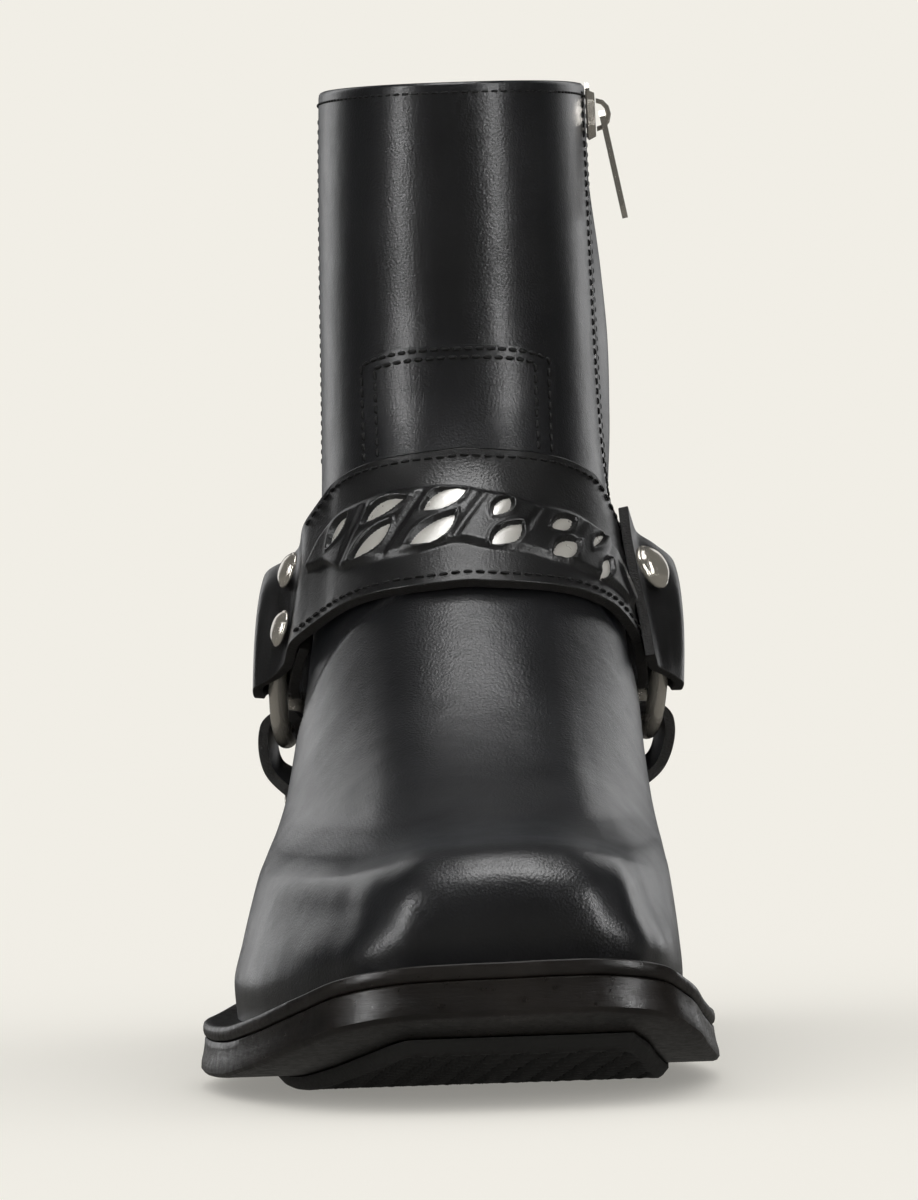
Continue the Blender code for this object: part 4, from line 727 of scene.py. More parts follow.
def up_at_height(around, height):
    """The up value at which the skin reaches a height, for each around, by halving."""
    around, height = np.broadcast_arrays(np.asarray(around, float), np.asarray(height, float))
    low = np.zeros(around.shape)
    high = np.ones(around.shape)
    for _ in range(22):
        middle = (low + high) / 2
        below = bare_skin(around, middle)[..., 2] < height
        low = np.where(below, middle, low)
        high = np.where(below, high, middle)
    return (low + high) / 2


probe = skin(np.array([0.0, 0.5]), np.array([1.0, 1.0]))
print("collar front and back:", probe.round(4).tolist())

# %% [markdown]
# ## Finishes
#
# Polished calf is nearly black, with a hair-fine grain and pores that show only where light grazes it. The colour
# sits under a thin coat of wax, so the shader gets a rough dark base with a clear coat over it, and two sizes of
# grain move the bump and the roughness. Sole edges are waxed and burnished, rubber is dull, nickel is smooth.

# %% Helpers for node materials
def speckle(tree, scale, detail=3.0, roughness=0.6, stretch=(1.0, 1.0, 1.0)):
    """Noise over the object's own coordinates; scale is in bumps per metre."""
    place = node(tree, "ShaderNodeTexCoord")
    turn = node(tree, "ShaderNodeMapping", Scale=stretch)
    noise = node(tree, "ShaderNodeTexNoise", Scale=scale, Detail=detail, Roughness=roughness)
    tree.links.new(place.outputs["Object"], turn.inputs["Vector"])
    tree.links.new(turn.outputs["Vector"], noise.inputs["Vector"])
    return noise.outputs["Fac"]


def cells(tree, scale, feature="F1"):
    """Distance within scattered cells over the object's own coordinates, for pores."""
    place = node(tree, "ShaderNodeTexCoord")
    made = node(tree, "ShaderNodeTexVoronoi", Scale=scale, feature=feature)
    tree.links.new(place.outputs["Object"], made.inputs["Vector"])
    return made.outputs["Distance"]


def blend_colours(tree, source, first, second):
    """Goes from the first colour to the second as the source goes from 0 to 1."""
    made = node(tree, "ShaderNodeMix", data_type="RGBA")
    made.inputs["A"].default_value = (*first, 1.0)
    made.inputs["B"].default_value = (*second, 1.0)
    tree.links.new(source, made.inputs["Factor"])
    return made.outputs["Result"]


def bumps(tree, shader, *layers):
    """Adds bump layers (height, depth in metres, strength) one on another, coarse ones first."""
    last = None
    for height, depth, strength in layers:
        made = node(tree, "ShaderNodeBump", Strength=strength, Distance=depth)
        tree.links.new(height, made.inputs["Height"])
        if last is not None:
            tree.links.new(last, made.inputs["Normal"])
        last = made.outputs["Normal"]
    tree.links.new(last, shader.inputs["Normal"])
    return last


# %% Leather
def leather(name, colour, roughness, coat, grain=1.0, sheen=0.0):
    """Fine calf: broad soft ripples, a hair-fine grain and pores under a coat of wax."""
    made, shader = plain_shader(name, colour, roughness, specular=0.42)
    tree = made.node_tree
    ripple = speckle(tree, 95.0, 2.0, 0.5)
    fine = speckle(tree, 1500.0, 4.0, 0.68)
    pores = cells(tree, 1700.0)
    tint = between(tree, speckle(tree, 30.0, 3.0), 0.3, 0.7)
    tree.links.new(
        blend_colours(tree, tint, [c * 0.8 for c in colour], [c * 1.25 for c in colour]),
        shader.inputs["Base Color"]
    )
    patchy = speckle(tree, 60.0, 4.0)
    tree.links.new(
        between(tree, patchy, 0.3, 0.7, roughness * 0.85, roughness * 1.2), shader.inputs["Roughness"]
    )
    normal = bumps(
        tree, shader, (ripple, 0.00045, 0.40), (fine, 0.00011 * grain, 0.60),
        (pores, 0.00008 * grain, 0.40)
    )
    shader.inputs["Coat Weight"].default_value = coat
    shader.inputs["Coat Roughness"].default_value = 0.13
    shader.inputs["Coat IOR"].default_value = 1.5
    tree.links.new(normal, shader.inputs["Coat Normal"])
    if sheen:
        shader.inputs["Sheen Weight"].default_value = sheen
        shader.inputs["Sheen Roughness"].default_value = 0.35
        shader.inputs["Sheen Tint"].default_value = (0.75, 0.85, 1.0, 1.0)
    return made


calf = leather("polished_calf", (0.0105, 0.0108, 0.0126), 0.37, 0.62, sheen=0.03)
strap_leather = leather("strap_leather", (0.0100, 0.0100, 0.0106), 0.38, 0.55)
lining = leather("lining_leather", (0.030, 0.026, 0.023), 0.62, 0.0, 1.4)
raw_edge = leather("dyed_cut_edge", (0.0120, 0.0110, 0.0105), 0.60, 0.05, 2.5)


def burnished(name, colour, roughness):
    """Waxed leather edge: fine streaks along the sole, and scuffs that change the gloss."""
    made, shader = plain_shader(name, colour, roughness, specular=0.45)
    tree = made.node_tree
    streak = speckle(tree, 220.0, 4.0, 0.6, stretch=(1.0, 1.0, 6.0))
    scuff = speckle(tree, 420.0, 5.0, 0.7)
    cloud = between(tree, speckle(tree, 45.0, 3.0), 0.35, 0.7)
    tree.links.new(
        blend_colours(tree, cloud, [c * 0.7 for c in colour], [c * 1.6 for c in colour]),
        shader.inputs["Base Color"]
    )
    tree.links.new(
        between(tree, scuff, 0.35, 0.75, roughness * 0.75, roughness * 1.5), shader.inputs["Roughness"]
    )
    normal = bumps(tree, shader, (streak, 0.00016, 0.5), (scuff, 0.00008, 0.5))
    shader.inputs["Coat Weight"].default_value = 0.25
    shader.inputs["Coat Roughness"].default_value = 0.22
    tree.links.new(normal, shader.inputs["Coat Normal"])
    return made


sole_edge = burnished("burnished_edge", (0.0110, 0.0092, 0.0084), 0.36)


def rubber(name, colour, roughness):
    made, shader = plain_shader(name, colour, roughness, specular=0.3)
    tree = made.node_tree
    pebble = speckle(tree, 900.0, 4.0, 0.7)
    tree.links.new(
        between(tree, pebble, 0.3, 0.7, roughness * 0.85, roughness * 1.15), shader.inputs["Roughness"]
    )
    bumps(tree, shader, (pebble, 0.00010, 0.5))
    return made


sole_rubber = rubber("sole_rubber", (0.017, 0.0168, 0.0168), 0.55)


def metal(name, colour, roughness, brushed=0.0, stretch=(1.0, 1.0, 1.0), metallic=1.0):
    """Plated metal; brushed adds fine scratches along the axis that stretch leaves short."""
    made, shader = plain_shader(name, colour, roughness, metallic)
    tree = made.node_tree
    wear = speckle(tree, 260.0, 4.0)
    tree.links.new(
        between(tree, wear, 0.3, 0.75, roughness * 0.7, roughness * 1.5), shader.inputs["Roughness"]
    )
    lines = speckle(tree, 900.0, 3.0, 0.6, stretch)
    bumps(tree, shader, (lines, 0.00004, max(brushed, 0.08)))
    return made


nickel = metal("polished_nickel", (0.74, 0.70, 0.64), 0.18, metallic=0.80)
brushed_metal = metal("brushed_metal", (0.70, 0.69, 0.67), 0.34, 0.70, (3.0, 0.4, 3.0), metallic=0.45)
zip_metal = metal("zip_metal", (0.60, 0.58, 0.54), 0.18)
tape, tape_shader = plain_shader("zip_tape", (0.010, 0.010, 0.011), 0.85, specular=0.25)
bumps(tape.node_tree, tape_shader, (speckle(tape.node_tree, 1800.0, 2.0), 0.00015, 0.8))
thread, thread_shader = plain_shader("waxed_thread", (0.0085, 0.0085, 0.0090), 0.55, specular=0.35)
bumps(thread.node_tree, thread_shader, (speckle(thread.node_tree, 3500.0, 1.0), 0.00008, 0.6))
insole_leather = leather("insole_leather", (0.23, 0.155, 0.095), 0.60, 0.0, 1.2)
print("finishes:", len(bpy.data.materials))

# %% [markdown]
# ## The upper
#
# Vamp and shaft are stretched over the last and lie as one skin; only small steps tell where one panel lies over
# another. The relief is written as a lift of that skin: a step where the vamp overlaps the quarters, the round dome
# of the toe, the groove that holds the zip, and the few soft dents that a worn-in shaft takes round the ankle. Height is what people see first in leather, so these are real shape, and only grain is bump.

# %% Seam lines on the skin
ZIP_HALF = ZIP_WIDTH / 2 + 2 * GAP


def zip_around(up):
    """Where the zip's upright line crosses each level of the upper."""
    up = np.asarray(up, float)
    levels = np.linspace(0.0, 1.0, 161)
    search = np.linspace(0.55, 0.85, 181)
    depth = bare_skin(search[None, :], levels[:, None])[..., 1] + HEEL_CENTRE_TO_TOE
    found = np.array([np.interp(-ZIP_TO_TOE, -row, search) for row in depth])
    return np.interp(up, levels, found)


def bump_at(value, middle, width):
    """A smooth hill of height 1 and the given width at its foot."""
    t = np.clip(1 - ((value - middle) / width) ** 2, 0.0, 1.0)
    return t * t


VAMP_BACK = {LATERAL: 0.185, MEDIAL: 0.196}
VAMP_STEP = 0.0009


def vamp_cover(around, up):
    """1 on the vamp, 0 behind its back edge, with a sharp but smooth step between."""
    point = bare_skin(around, up)
    depth = point[..., 1] + HEEL_CENTRE_TO_TOE
    edge = np.where(point[..., 0] < 0, VAMP_BACK[LATERAL], VAMP_BACK[MEDIAL]) - 0.42 * (point[..., 2] - 0.03)
    return ramp(0.0006, -0.0006, depth - edge)


# %% Soft dents
# around, up: middle; wide, tall: reach in around and in up; depth: metres, positive sinks.
DENTS = [
    (0.035, 0.66, 0.060, 0.050, 0.0010),
    (0.955, 0.60, 0.050, 0.040, 0.0008),
    (0.130, 0.62, 0.070, 0.035, 0.0010),
    (0.870, 0.64, 0.060, 0.035, 0.0009),
    (0.200, 0.69, 0.060, 0.030, -0.0002),
    (0.800, 0.70, 0.050, 0.030, -0.0002),
    (0.045, 0.80, 0.045, 0.070, 0.0006),
    (0.950, 0.82, 0.040, 0.060, 0.0005),
]


def dents(around, up):
    total = np.zeros(np.broadcast(around, up).shape)
    for place, level_up, wide, tall, depth in DENTS:
        apart = np.abs(np.mod(around - place + 0.5, 1.0) - 0.5)
        total = total - depth * np.exp(-((apart / wide) ** 2) - ((up - level_up) / tall) ** 2)
    return total


TOE_CENTRE = 0.0045
TOE_HALF = 0.0225
ARCH_FOOT = 0.034
ARCH_TALL = 0.025
SHOULDER_DEPTH = 0.0026
DOME_LIFT = 0.0020


def toe_dome(around, up):
    """Lift of the toe's dome: up inside a round arch seen from the front, and down beside it."""
    point = bare_skin(around, up)
    depth = point[..., 1] + HEEL_CENTRE_TO_TOE
    away = np.hypot((point[..., 0] - TOE_CENTRE) / TOE_HALF, (point[..., 2] - ARCH_FOOT) / ARCH_TALL)
    shoulder = SHOULDER_DEPTH * ramp(0.85, 1.60, away)
    dome = DOME_LIFT * (1 - ramp(0.45, 1.25, away))
    near_toe = 1 - ramp(0.030, 0.085, depth)
    return (dome - shoulder) * near_toe * ramp(0.030, 0.042, point[..., 2])


def relief(around, up):
    """Lift of the upper's finished surface over the bare skin, without the zip's groove."""
    return dents(around, up) + toe_dome(around, up) - VAMP_STEP * (1 - vamp_cover(around, up)) * ramp(0.75, 0.60, up)


# %% Upper mesh
UPPER_COLUMNS = 330
UPPER_ROWS = 210
RIM_STEPS = 6
LINING_ROWS = 72
RIM_SHARE = WALL / 2 / SKIN_RISE


def upper_columns():
    """Around values, evenly spaced but crowded at toe and heel, with extra ones along the edges of the groove."""
    t = np.linspace(0.0, 1.0, UPPER_COLUMNS // 2 + 1)
    half = (t - 0.30 * np.sin(2 * math.pi * t) / (2 * math.pi)) / 2
    ring = np.concatenate([half, 1.0 - half[-2:0:-1]])
    reach = ZIP_HALF / UPPER_GIRTH
    ring = ring[np.abs(ring - ZIP_PLACE) > reach * 1.5]
    wall = GROOVE_WALL / UPPER_GIRTH
    steps = np.array([1.45, 1.25, 1.1, 1.0 + wall / reach, 1.0 + wall / reach * 0.5, 1.0, 0.6, 0.2])
    return np.sort(np.concatenate([ring, ZIP_PLACE + reach * steps, ZIP_PLACE - reach * steps]))


columns = upper_columns()
rows = np.linspace(0.0, 1.0 - RIM_SHARE, UPPER_ROWS)[:, None]
shift = zip_around(rows) - ZIP_PLACE
near = 2 * ZIP_HALF / UPPER_GIRTH
bend = np.interp(
    columns, (0.0, 0.5, ZIP_PLACE - near, ZIP_PLACE + near, 0.9, 1.0), (0, 0, 1, 1, 0, 0)
)[None, :]
around = columns[None, :] + shift * bend
up = np.broadcast_to(rows, around.shape)
off_line = np.abs(columns - ZIP_PLACE)[None, :] * UPPER_GIRTH
groove_foot = float(
    np.interp(ZIP_FOOT_HEIGHT, bare_skin(zip_around(rows[:, 0]), rows[:, 0])[:, 2], rows[:, 0])
)
in_groove = ramp(
    ZIP_HALF + GROOVE_WALL, ZIP_HALF + 0.1 * GROOVE_WALL, off_line
) * ramp(groove_foot - 0.03, groove_foot, up)
piping = bump_at(
    off_line, ZIP_HALF + GROOVE_WALL + 0.0012, 0.0016
) * ramp(groove_foot - 0.02, groove_foot, up)
depth = ZIP_GROOVE * in_groove - 0.00035 * piping
outer = skin(around, up, relief(around, up) - depth)
top_around = around[-1]
top_up = np.ones(len(columns))
angle = np.linspace(0.0, math.pi, RIM_STEPS + 2)[1:-1, None]
sunk = depth[-1]
rim = skin(top_around, top_up, relief(top_around, top_up) - sunk - WALL / 2 * (1 - np.cos(angle)))
rim[..., 2] -= WALL / 2 * (1 - np.sin(angle))
lining_rows = np.linspace(1.0 - RIM_SHARE, 0.0, LINING_ROWS)[:, None]
lining_around = columns[None, :] + (zip_around(lining_rows) - ZIP_PLACE) * bend
lining_depth = ZIP_GROOVE * ramp(ZIP_HALF + GROOVE_WALL, ZIP_HALF, off_line) + WALL
lining_up = np.broadcast_to(lining_rows, lining_around.shape)
inner = skin(lining_around, lining_up, np.minimum(relief(lining_around, lining_up), 0.0) - lining_depth)
inner[-1, :, 2] = outer[0, :, 2]
body = np.concatenate([outer, rim, inner])
faces = grid_faces(len(body), len(columns), around=True)
foot = (len(body) - 1) * len(columns)
c = np.arange(len(columns))
n = (c + 1) % len(columns)
faces = np.concatenate([faces, np.stack([foot + c, foot + n, n, c], -1)])
upper = mesh_object("upper_leather", body, faces, calf, 30.0)
upper.data.materials.append(lining)
is_lining = np.zeros(len(upper.data.polygons), np.int32)
first_lining = (len(outer) + RIM_STEPS) * len(columns)
is_lining[first_lining : (len(body) - 1) * len(columns)] = 1
upper.data.polygons.foreach_set("material_index", is_lining)
outward(upper)
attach(upper, "boot")
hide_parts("upper")
print("upper:", len(upper.data.polygons), "faces")

# %% [markdown]
# ## Sole, welt and heel
#
# A welted sole is built in layers: a leather outsole, a welt that is stitched to it all round the forepart, a heel
# of stacked leather lifts and a rubber top piece. The edge is trimmed, waxed and burnished as one wall. Each layer
# is a profile carried round the sole's outline; the profile's numbers are how far in and how high it is.

# %% Layers of the sole
SOLE_COLUMNS = 420
SOLE_RING = np.linspace(0.0, 1.0, SOLE_COLUMNS, endpoint=False)
# inset in metres, share of the outsole's thickness
OUTSOLE_WALL = [
    (0.0060, 0.0), (0.0013, 0.0), (0.0005, 0.03), (0.0, 0.12), (0.0001, 0.30), (0.0006, 0.55),
    (0.0009, 0.80), (0.0010, 0.95), (0.0013, 1.0), (0.0070, 1.0)
]
# inset in metres, share of the welt's thickness
WELT_WALL = [
    (0.0013, 0.0), (0.0009, 0.10), (0.0007, 0.32), (0.0007, 0.60), (0.0009, 0.84), (0.0014, 0.97),
    (0.0028, 1.0)
]


def sole_points(along, across, height):
    return np.stack([across, along - HEEL_CENTRE_TO_TOE, height], -1)


def stacked(name, loops, finish, angle=35.0):
    """A solid through closed loops that all start in the middle of the front, capped by strips from side to side."""
    count = len(loops[0])
    sides = grid_faces(len(loops), count, around=True)
    k = np.arange(1, count // 2 - 1)
    strips = [
        [0, 1, count - 1], *np.stack([k, k + 1, count - k - 1, count - k], -1).tolist(),
        [count // 2 - 1, count // 2, count // 2 + 1]
    ]
    last = (len(loops) - 1) * count
    caps = [list(reversed(strip)) for strip in strips] + [[last + v for v in strip] for strip in strips]
    made = mesh_object(name, np.concatenate(loops), sides.tolist() + caps, finish, angle)
    outward(made)
    return made


loops = []
for inset, share in OUTSOLE_WALL:
    along, across = outline(SOLE_RING, inset)
    loops.append(sole_points(along, across, underside(along) + OUTSOLE_THICKNESS * share))
outsole = stacked("outsole_leather", loops, sole_edge)
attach(outsole, "boot")
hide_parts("outsole")

ring = np.sort(np.where(SOLE_RING > 0.5, SOLE_RING - 1.0, SOLE_RING))
edge, _ = outline(ring, 0.0)
ring = ring[edge < HEEL_BREAST - WELT_THICKNESS]
edge, _ = outline(ring, 0.0)
inner = feather_inset(edge) + WALL + GAP
rows = []
for inset, share in [(inner, 0.0), *WELT_WALL, (inner, 1.0)]:
    along, across = outline(ring, inset)
    thickness = np.maximum((WELT_THICKNESS + GAP) * welt_fade(along) - GAP, WELT_TIP)
    rows.append(sole_points(along, across, underside(along) + OUTSOLE_THICKNESS + GAP + thickness * share))
rows = np.array(rows)
count = len(ring)
faces = grid_faces(len(rows), count).tolist()
wrap = (len(rows) - 1) * count
faces += [[wrap + c, wrap + c + 1, c + 1, c] for c in range(count - 1)]
faces.append([r * count for r in range(len(rows))])
faces.append([r * count + count - 1 for r in reversed(range(len(rows)))])
welt = mesh_object("welt_strip", rows, faces, sole_edge, 40.0)
outward(welt)
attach(welt, "boot")
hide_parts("welt")
print("sole wall:", len(outsole.data.polygons), "faces, welt:", len(welt.data.polygons))

# %% [markdown]
# ## Rubber half sole
#
# The half sole is a moulded rubber patch glued under the ball. Its edge is bevelled, and its face is cut into fine
# saw teeth that run slantwise in arcs. The teeth are a wave added to the patch's lower surface, so they bite the
# outline as in the real one.

# %% Half sole
TREAD_INSET = TREAD_MARGIN + 0.0025
TOOTH_PITCH = 0.0034
LATERAL_ROOM = 0.0055
TOOTH_DEPTH = 0.0018


def side_limits(along, inset):
    """Across values of the sole's two edges, moved inwards by inset, at given depths."""
    limits = []
    for ring in (np.linspace(0.0, 0.5, 900), np.linspace(1.0, 0.5, 900)):
        edge_along, edge_across = outline(ring, inset)
        order = np.argsort(edge_along)
        limits.append(np.interp(along, edge_along[order], edge_across[order]))
    return limits


run = np.concatenate([[0.0, 0.006, 0.012], np.linspace(0.02, 0.98, 230), [0.988, 0.994, 1.0]])
across_share = np.concatenate([[-1.0, -0.985, -0.97], np.linspace(-0.95, 0.95, 130), [0.97, 0.985, 1.0]])
along = (TREAD_FRONT + 0.002 + (TREAD_BACK - TREAD_FRONT - 0.002) * run)[:, None]
low, high = side_limits(along[:, 0], TREAD_INSET)
low = low + LATERAL_ROOM
low = np.minimum(low, -0.012)
high = np.maximum(high, 0.012)
across = mix(low[:, None], high[:, None], (across_share[None, :] + 1) / 2)
along = np.broadcast_to(along, across.shape)
to_edge = np.minimum(
    (1 - np.abs(across_share))[None, :] * (high - low)[:, None] / 2,
    np.minimum(run, 1 - run)[:, None] * (TREAD_BACK - TREAD_FRONT)
)
bevel = np.clip(to_edge / 0.0016, 0.0, 1.0)
slant = across + 0.35 * along + 0.004 * np.sin(along / 0.018)
tooth = np.abs(
    np.mod(
        (along + 0.55 * np.abs(across)) / TOOTH_PITCH, 1.0
    ) - np.mod(slant / (TOOTH_PITCH * 1.7), 1.0) * 0.6
)
tooth = np.clip(tooth, 0.0, 1.0) * ramp(0.0018, 0.0045, to_edge)
drop = TREAD_THICKNESS * (0.45 + 0.55 * bevel) - TOOTH_DEPTH * tooth - 0.0002
lower = sole_points(along, across, underside(along) - drop)
upper_face = sole_points(along, across, underside(along) - GAP)


def closed_sheet(name, first, second, finish, angle=35.0):
    """A closed sheet between two grids of points, with a wall round their four edges."""
    rows, columns = first.shape[:2]
    faces = grid_faces(rows, columns)
    below = rows * columns
    r = np.arange(rows)
    c = np.arange(columns)
    border = np.concatenate(
        [c[:-1], r[:-1] * columns + columns - 1, (rows - 1) * columns + c[:0:-1], r[:0:-1] * columns]
    )
    after = np.roll(border, -1)
    wall = np.stack([after, border, border + below, after + below], -1)
    made = mesh_object(
        name, np.concatenate([first.reshape(-1, 3), second.reshape(-1, 3)]),
        np.concatenate([faces, faces[:, ::-1] + below, wall]), finish, angle
    )
    outward(made)
    return made


tread = closed_sheet("half_sole", upper_face, lower, sole_rubber, 60.0)
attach(tread, "boot")
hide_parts("forefoot_tread")
print("half sole:", len(tread.data.polygons), "faces")

# %% Heel
HEEL_LIFTS = 5
LIFT_GROOVE = 0.00022


def around_at(depth, side):
    """Where on the outline one side passes a given depth from the toe."""
    half = np.linspace(0.03, 0.47, 400)
    around = half if side == LATERAL else 1.0 - half
    edge_along, _ = outline(around, 0.0)
    return float(np.interp(depth, edge_along, around))


def heel_loops(levels):
    """Loops of the heel between a hollowed breast and the sole's outline; levels are (height, inset)."""
    lateral = np.linspace(around_at(HEEL_BREAST, LATERAL), 0.5, 70)[:-1]
    medial = np.linspace(around_at(HEEL_BREAST, MEDIAL), 0.5, 70)[:-1]
    half = np.arange(16) / 16
    hollow = BREAST_HOLLOW * (1 - half**2)
    loops = []
    for height, inset in levels:
        left, right, tail = (outline(ring, inset) for ring in (lateral, medial, np.array([0.5])))
        middle = (left[1][0] + right[1][0]) / 2
        along = np.concatenate(
            [left[0][0] + hollow, left[0], tail[0], right[0][::-1], (right[0][0] + hollow[1:])[::-1]]
        )
        across = np.concatenate(
            [
                mix(middle, left[1][0], half), left[1], tail[1], right[1][::-1],
                mix(middle, right[1][0], half[1:])[::-1]
            ]
        )
        loops.append(sole_points(along, across, np.full(along.shape, height)))
    return loops


top_lift = stacked(
    "heel_rubber",
    heel_loops(
        [
            (0.0, HEEL_TAPER + HEEL_CHAMFER), (HEEL_CHAMFER * 0.3, HEEL_TAPER + 0.0003),
            (HEEL_CHAMFER, HEEL_TAPER), (TOP_LIFT_THICKNESS - 0.0003, HEEL_TAPER),
            (TOP_LIFT_THICKNESS, HEEL_TAPER + 0.0003)
        ]
    ),
    sole_rubber
)
base = TOP_LIFT_THICKNESS + GAP
tall = HEEL_HEIGHT - GAP - base
levels = []
for k in range(HEEL_LIFTS):
    for share, sunk in ((0.0, LIFT_GROOVE), (0.08, 0.0), (0.92, 0.0), (1.0, LIFT_GROOVE)):
        at = (k + share) / HEEL_LIFTS
        levels.append((base + tall * (k + share) / HEEL_LIFTS, mix(HEEL_TAPER, HEEL_SEAT_STEP, at) + sunk))
levels = [level for k, level in enumerate(levels) if k == 0 or level[0] - levels[k - 1][0] > 1e-6]
stack = stacked("heel_lifts", heel_loops(levels), sole_edge)
for piece, solid, slot in ((top_lift, "heel_top_lift", "sole_rubber"), (stack, "heel_stack", "sole_edge")):
    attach(piece, "boot")
    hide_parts(solid)
insole_node = frame["nodes"]["insole"]
insole_node.data.materials.clear()
insole_node.data.materials.append(insole_leather)

# %% [markdown]
# ## Rings and the places of the straps
#
# Two round wire rings hang beside the ankle, one on each side, and every strap of the harness goes round their wire
# and is folded back on itself. A ring is laid along the skin and pushed out until the straps inside it clear the
# leather; each strap is then a set of rows, from its folded-back end round the wire and along the skin.

# %% Ring places
def view_to_skin(target, axes, around, up):
    """Finds (around, up) where two of the skin's three coordinates take target values."""
    target = np.asarray(target, float)
    guess = np.stack(np.broadcast_arrays(around, up, target[..., 0])[:2], -1).astype(float)
    step = 0.001
    for _ in range(14):
        here = bare_skin(guess[..., 0], guess[..., 1])[..., axes]
        slopes = []
        for k in range(2):
            moved = guess.copy()
            moved[..., k] += step
            slopes.append((bare_skin(moved[..., 0], moved[..., 1])[..., axes] - here) / step)
        change = np.linalg.solve(np.stack(slopes, -1), (target - here)[..., None])[..., 0]
        guess += np.clip(change, -0.04, 0.04)
        guess[..., 1] = np.clip(guess[..., 1], 0.0, 0.998)
    return guess[..., 0], guess[..., 1]


FRONT_VIEW = slice(0, 3, 2)
SIDE_VIEW = slice(1, 3)
LAYER = STRAP_THICKNESS / 2 + SKIN_GAP
SECOND_LAYER = LAYER + STRAP_THICKNESS + GAP
LOOP_RADIUS = RING_WIRE / 2 + GAP + LOOP_SLACK + STRAP_THICKNESS / 2
STRAP_PLACES = (STRAP_END_ANGLE, -math.pi / 2, math.pi)
STRAP_SPREADS = (STRAP_END_SPREAD, ARCH_STRAP_SPREAD, HEEL_STRAP_SPREAD)


def ring_point(frame, angle):
    centre, forward, upward, _ = frame
    radius = (RING_DIAMETER - RING_WIRE) / 2
    angle = np.asarray(angle, float)
    return centre + radius * (np.cos(angle)[..., None] * forward + np.sin(angle)[..., None] * upward)


def ring_frame(side):
    """Middle, forward, upward and outward directions of a ring beside the ankle.

    The ring lies along the skin, leans in at its top, and stands off just enough for the straps inside it.
    """
    first = 0.38 if side == LATERAL else 0.62
    place = np.array([[RING_TO_TOE - HEEL_CENTRE_TO_TOE, RING_HEIGHT]])
    around, up = view_to_skin(place, SIDE_VIEW, np.array([first]), np.array([0.45]))
    foot = skin(around, up)[0]
    outward = skin(around, up, 1.0)[0] - foot
    forward = np.array([0.0, -1.0, 0.0])
    forward = forward - outward * np.dot(forward, outward)
    forward = forward / np.linalg.norm(forward)
    upward = np.cross(outward, forward)
    upward = upward * np.sign(upward[2])
    outward, upward = (
        outward * math.cos(RING_LEAN) + upward * math.sin(RING_LEAN),
        upward * math.cos(RING_LEAN) - outward * math.sin(RING_LEAN),
    )
    standoff = LAYER + LOOP_RADIUS
    for _ in range(4):
        frame = (foot + outward * standoff, forward, upward, outward)
        least = min(
            float(bar_on_skin(frame, side, place, spread, 1.0, FEW_ACROSS)[2].min()) for place,
            spread in bars()
        )
        standoff += LAYER + LOOP_RADIUS - least
    return frame


def bars():
    return tuple(zip(STRAP_PLACES, STRAP_SPREADS))


def bar_angles(place, spread, flip, across):
    return place + flip * spread * across


FEW_ACROSS = np.linspace(-1.0, 1.0, 5)
ACROSS_STRAP = np.linspace(-1.0, 1.0, 31)


def bar_on_skin(frame, side, place, spread, flip=1.0, across=ACROSS_STRAP):
    """The (around, up, lift) of the ring's wire where a strap goes round it."""
    points = ring_point(frame, bar_angles(place, spread, flip, across))
    first = 0.38 if side == LATERAL else 0.62
    first = np.full(len(points), first)
    around, up = view_to_skin(points[:, 1:], SIDE_VIEW, first, np.full(len(points), 0.45))
    return locate(points, around, up)


LOOP_STEPS = 10
RING_STEPS = 120
WIRE_STEPS = 24
frames = {side: ring_frame(side) for side in (LATERAL, MEDIAL)}
for side, solid in ((LATERAL, "ring_lateral"), (MEDIAL, "ring_medial")):
    _, forward, upward, off_leg = frames[side]
    major = np.linspace(0.0, 2 * math.pi, RING_STEPS, endpoint=False)
    minor = np.linspace(0.0, 2 * math.pi, WIRE_STEPS, endpoint=False)
    radial = np.cos(major)[:, None] * forward + np.sin(major)[:, None] * upward
    spokes = np.cos(minor)[None, :, None] * radial[:, None, :] + np.sin(minor)[None, :, None] * off_leg
    points = ring_point(frames[side], major)[:, None, :] + spokes * RING_WIRE / 2
    faces = grid_faces(RING_STEPS, WIRE_STEPS, around=True)
    last = (RING_STEPS - 1) * WIRE_STEPS
    c = np.arange(WIRE_STEPS)
    n = (c + 1) % WIRE_STEPS
    faces = np.concatenate([faces, np.stack([last + c, last + n, n, c], -1)])
    piece = mesh_object(solid + "_wire", points, faces, nickel)
    outward(piece)
    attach(piece, "boot")
    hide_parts(solid)
print("rings stand", [round(float(frames[side][0][0]) * 1000, 1) for side in frames], "mm from the middle")

# %% [markdown]
# ## Straps
#
# Each strap is cut from 2.4 mm leather, its edges rounded and dyed, and a row of stitches runs 2 mm inside each edge
# where it holds the lining. The rows of the middle surface are joined by a smooth curve, then the surface is given
# its thickness along its own normal, so it stays even round the folds.

# %% Strap rows
def turn_rows(frame, place, spread, flip=1.0):
    """Rows of a strap's middle surface round the ring's wire, from its outer side to its inner side."""
    angle = bar_angles(place, spread, flip, ACROSS_STRAP)
    wire = ring_point(frame, angle)
    centre, _, _, outward = frame
    inward = (centre - wire) / np.linalg.norm(centre - wire, axis=1)[:, None]
    turn = np.linspace(0.0, math.pi, LOOP_STEPS + 1)
    return [wire + LOOP_RADIUS * (math.cos(a) * outward + math.sin(a) * inward) for a in turn]


def lifted_rows(bar, landing, shares, lifts):
    """Rows on the skin from the ring's wire to the landing, at given shares of the way and lifts."""
    rows = []
    for share, lift in zip(shares, lifts):
        around = mix(bar[0], landing[0], share)
        up = mix(bar[1], landing[1], share)
        rows.append(skin(around, up, lift))
    return rows


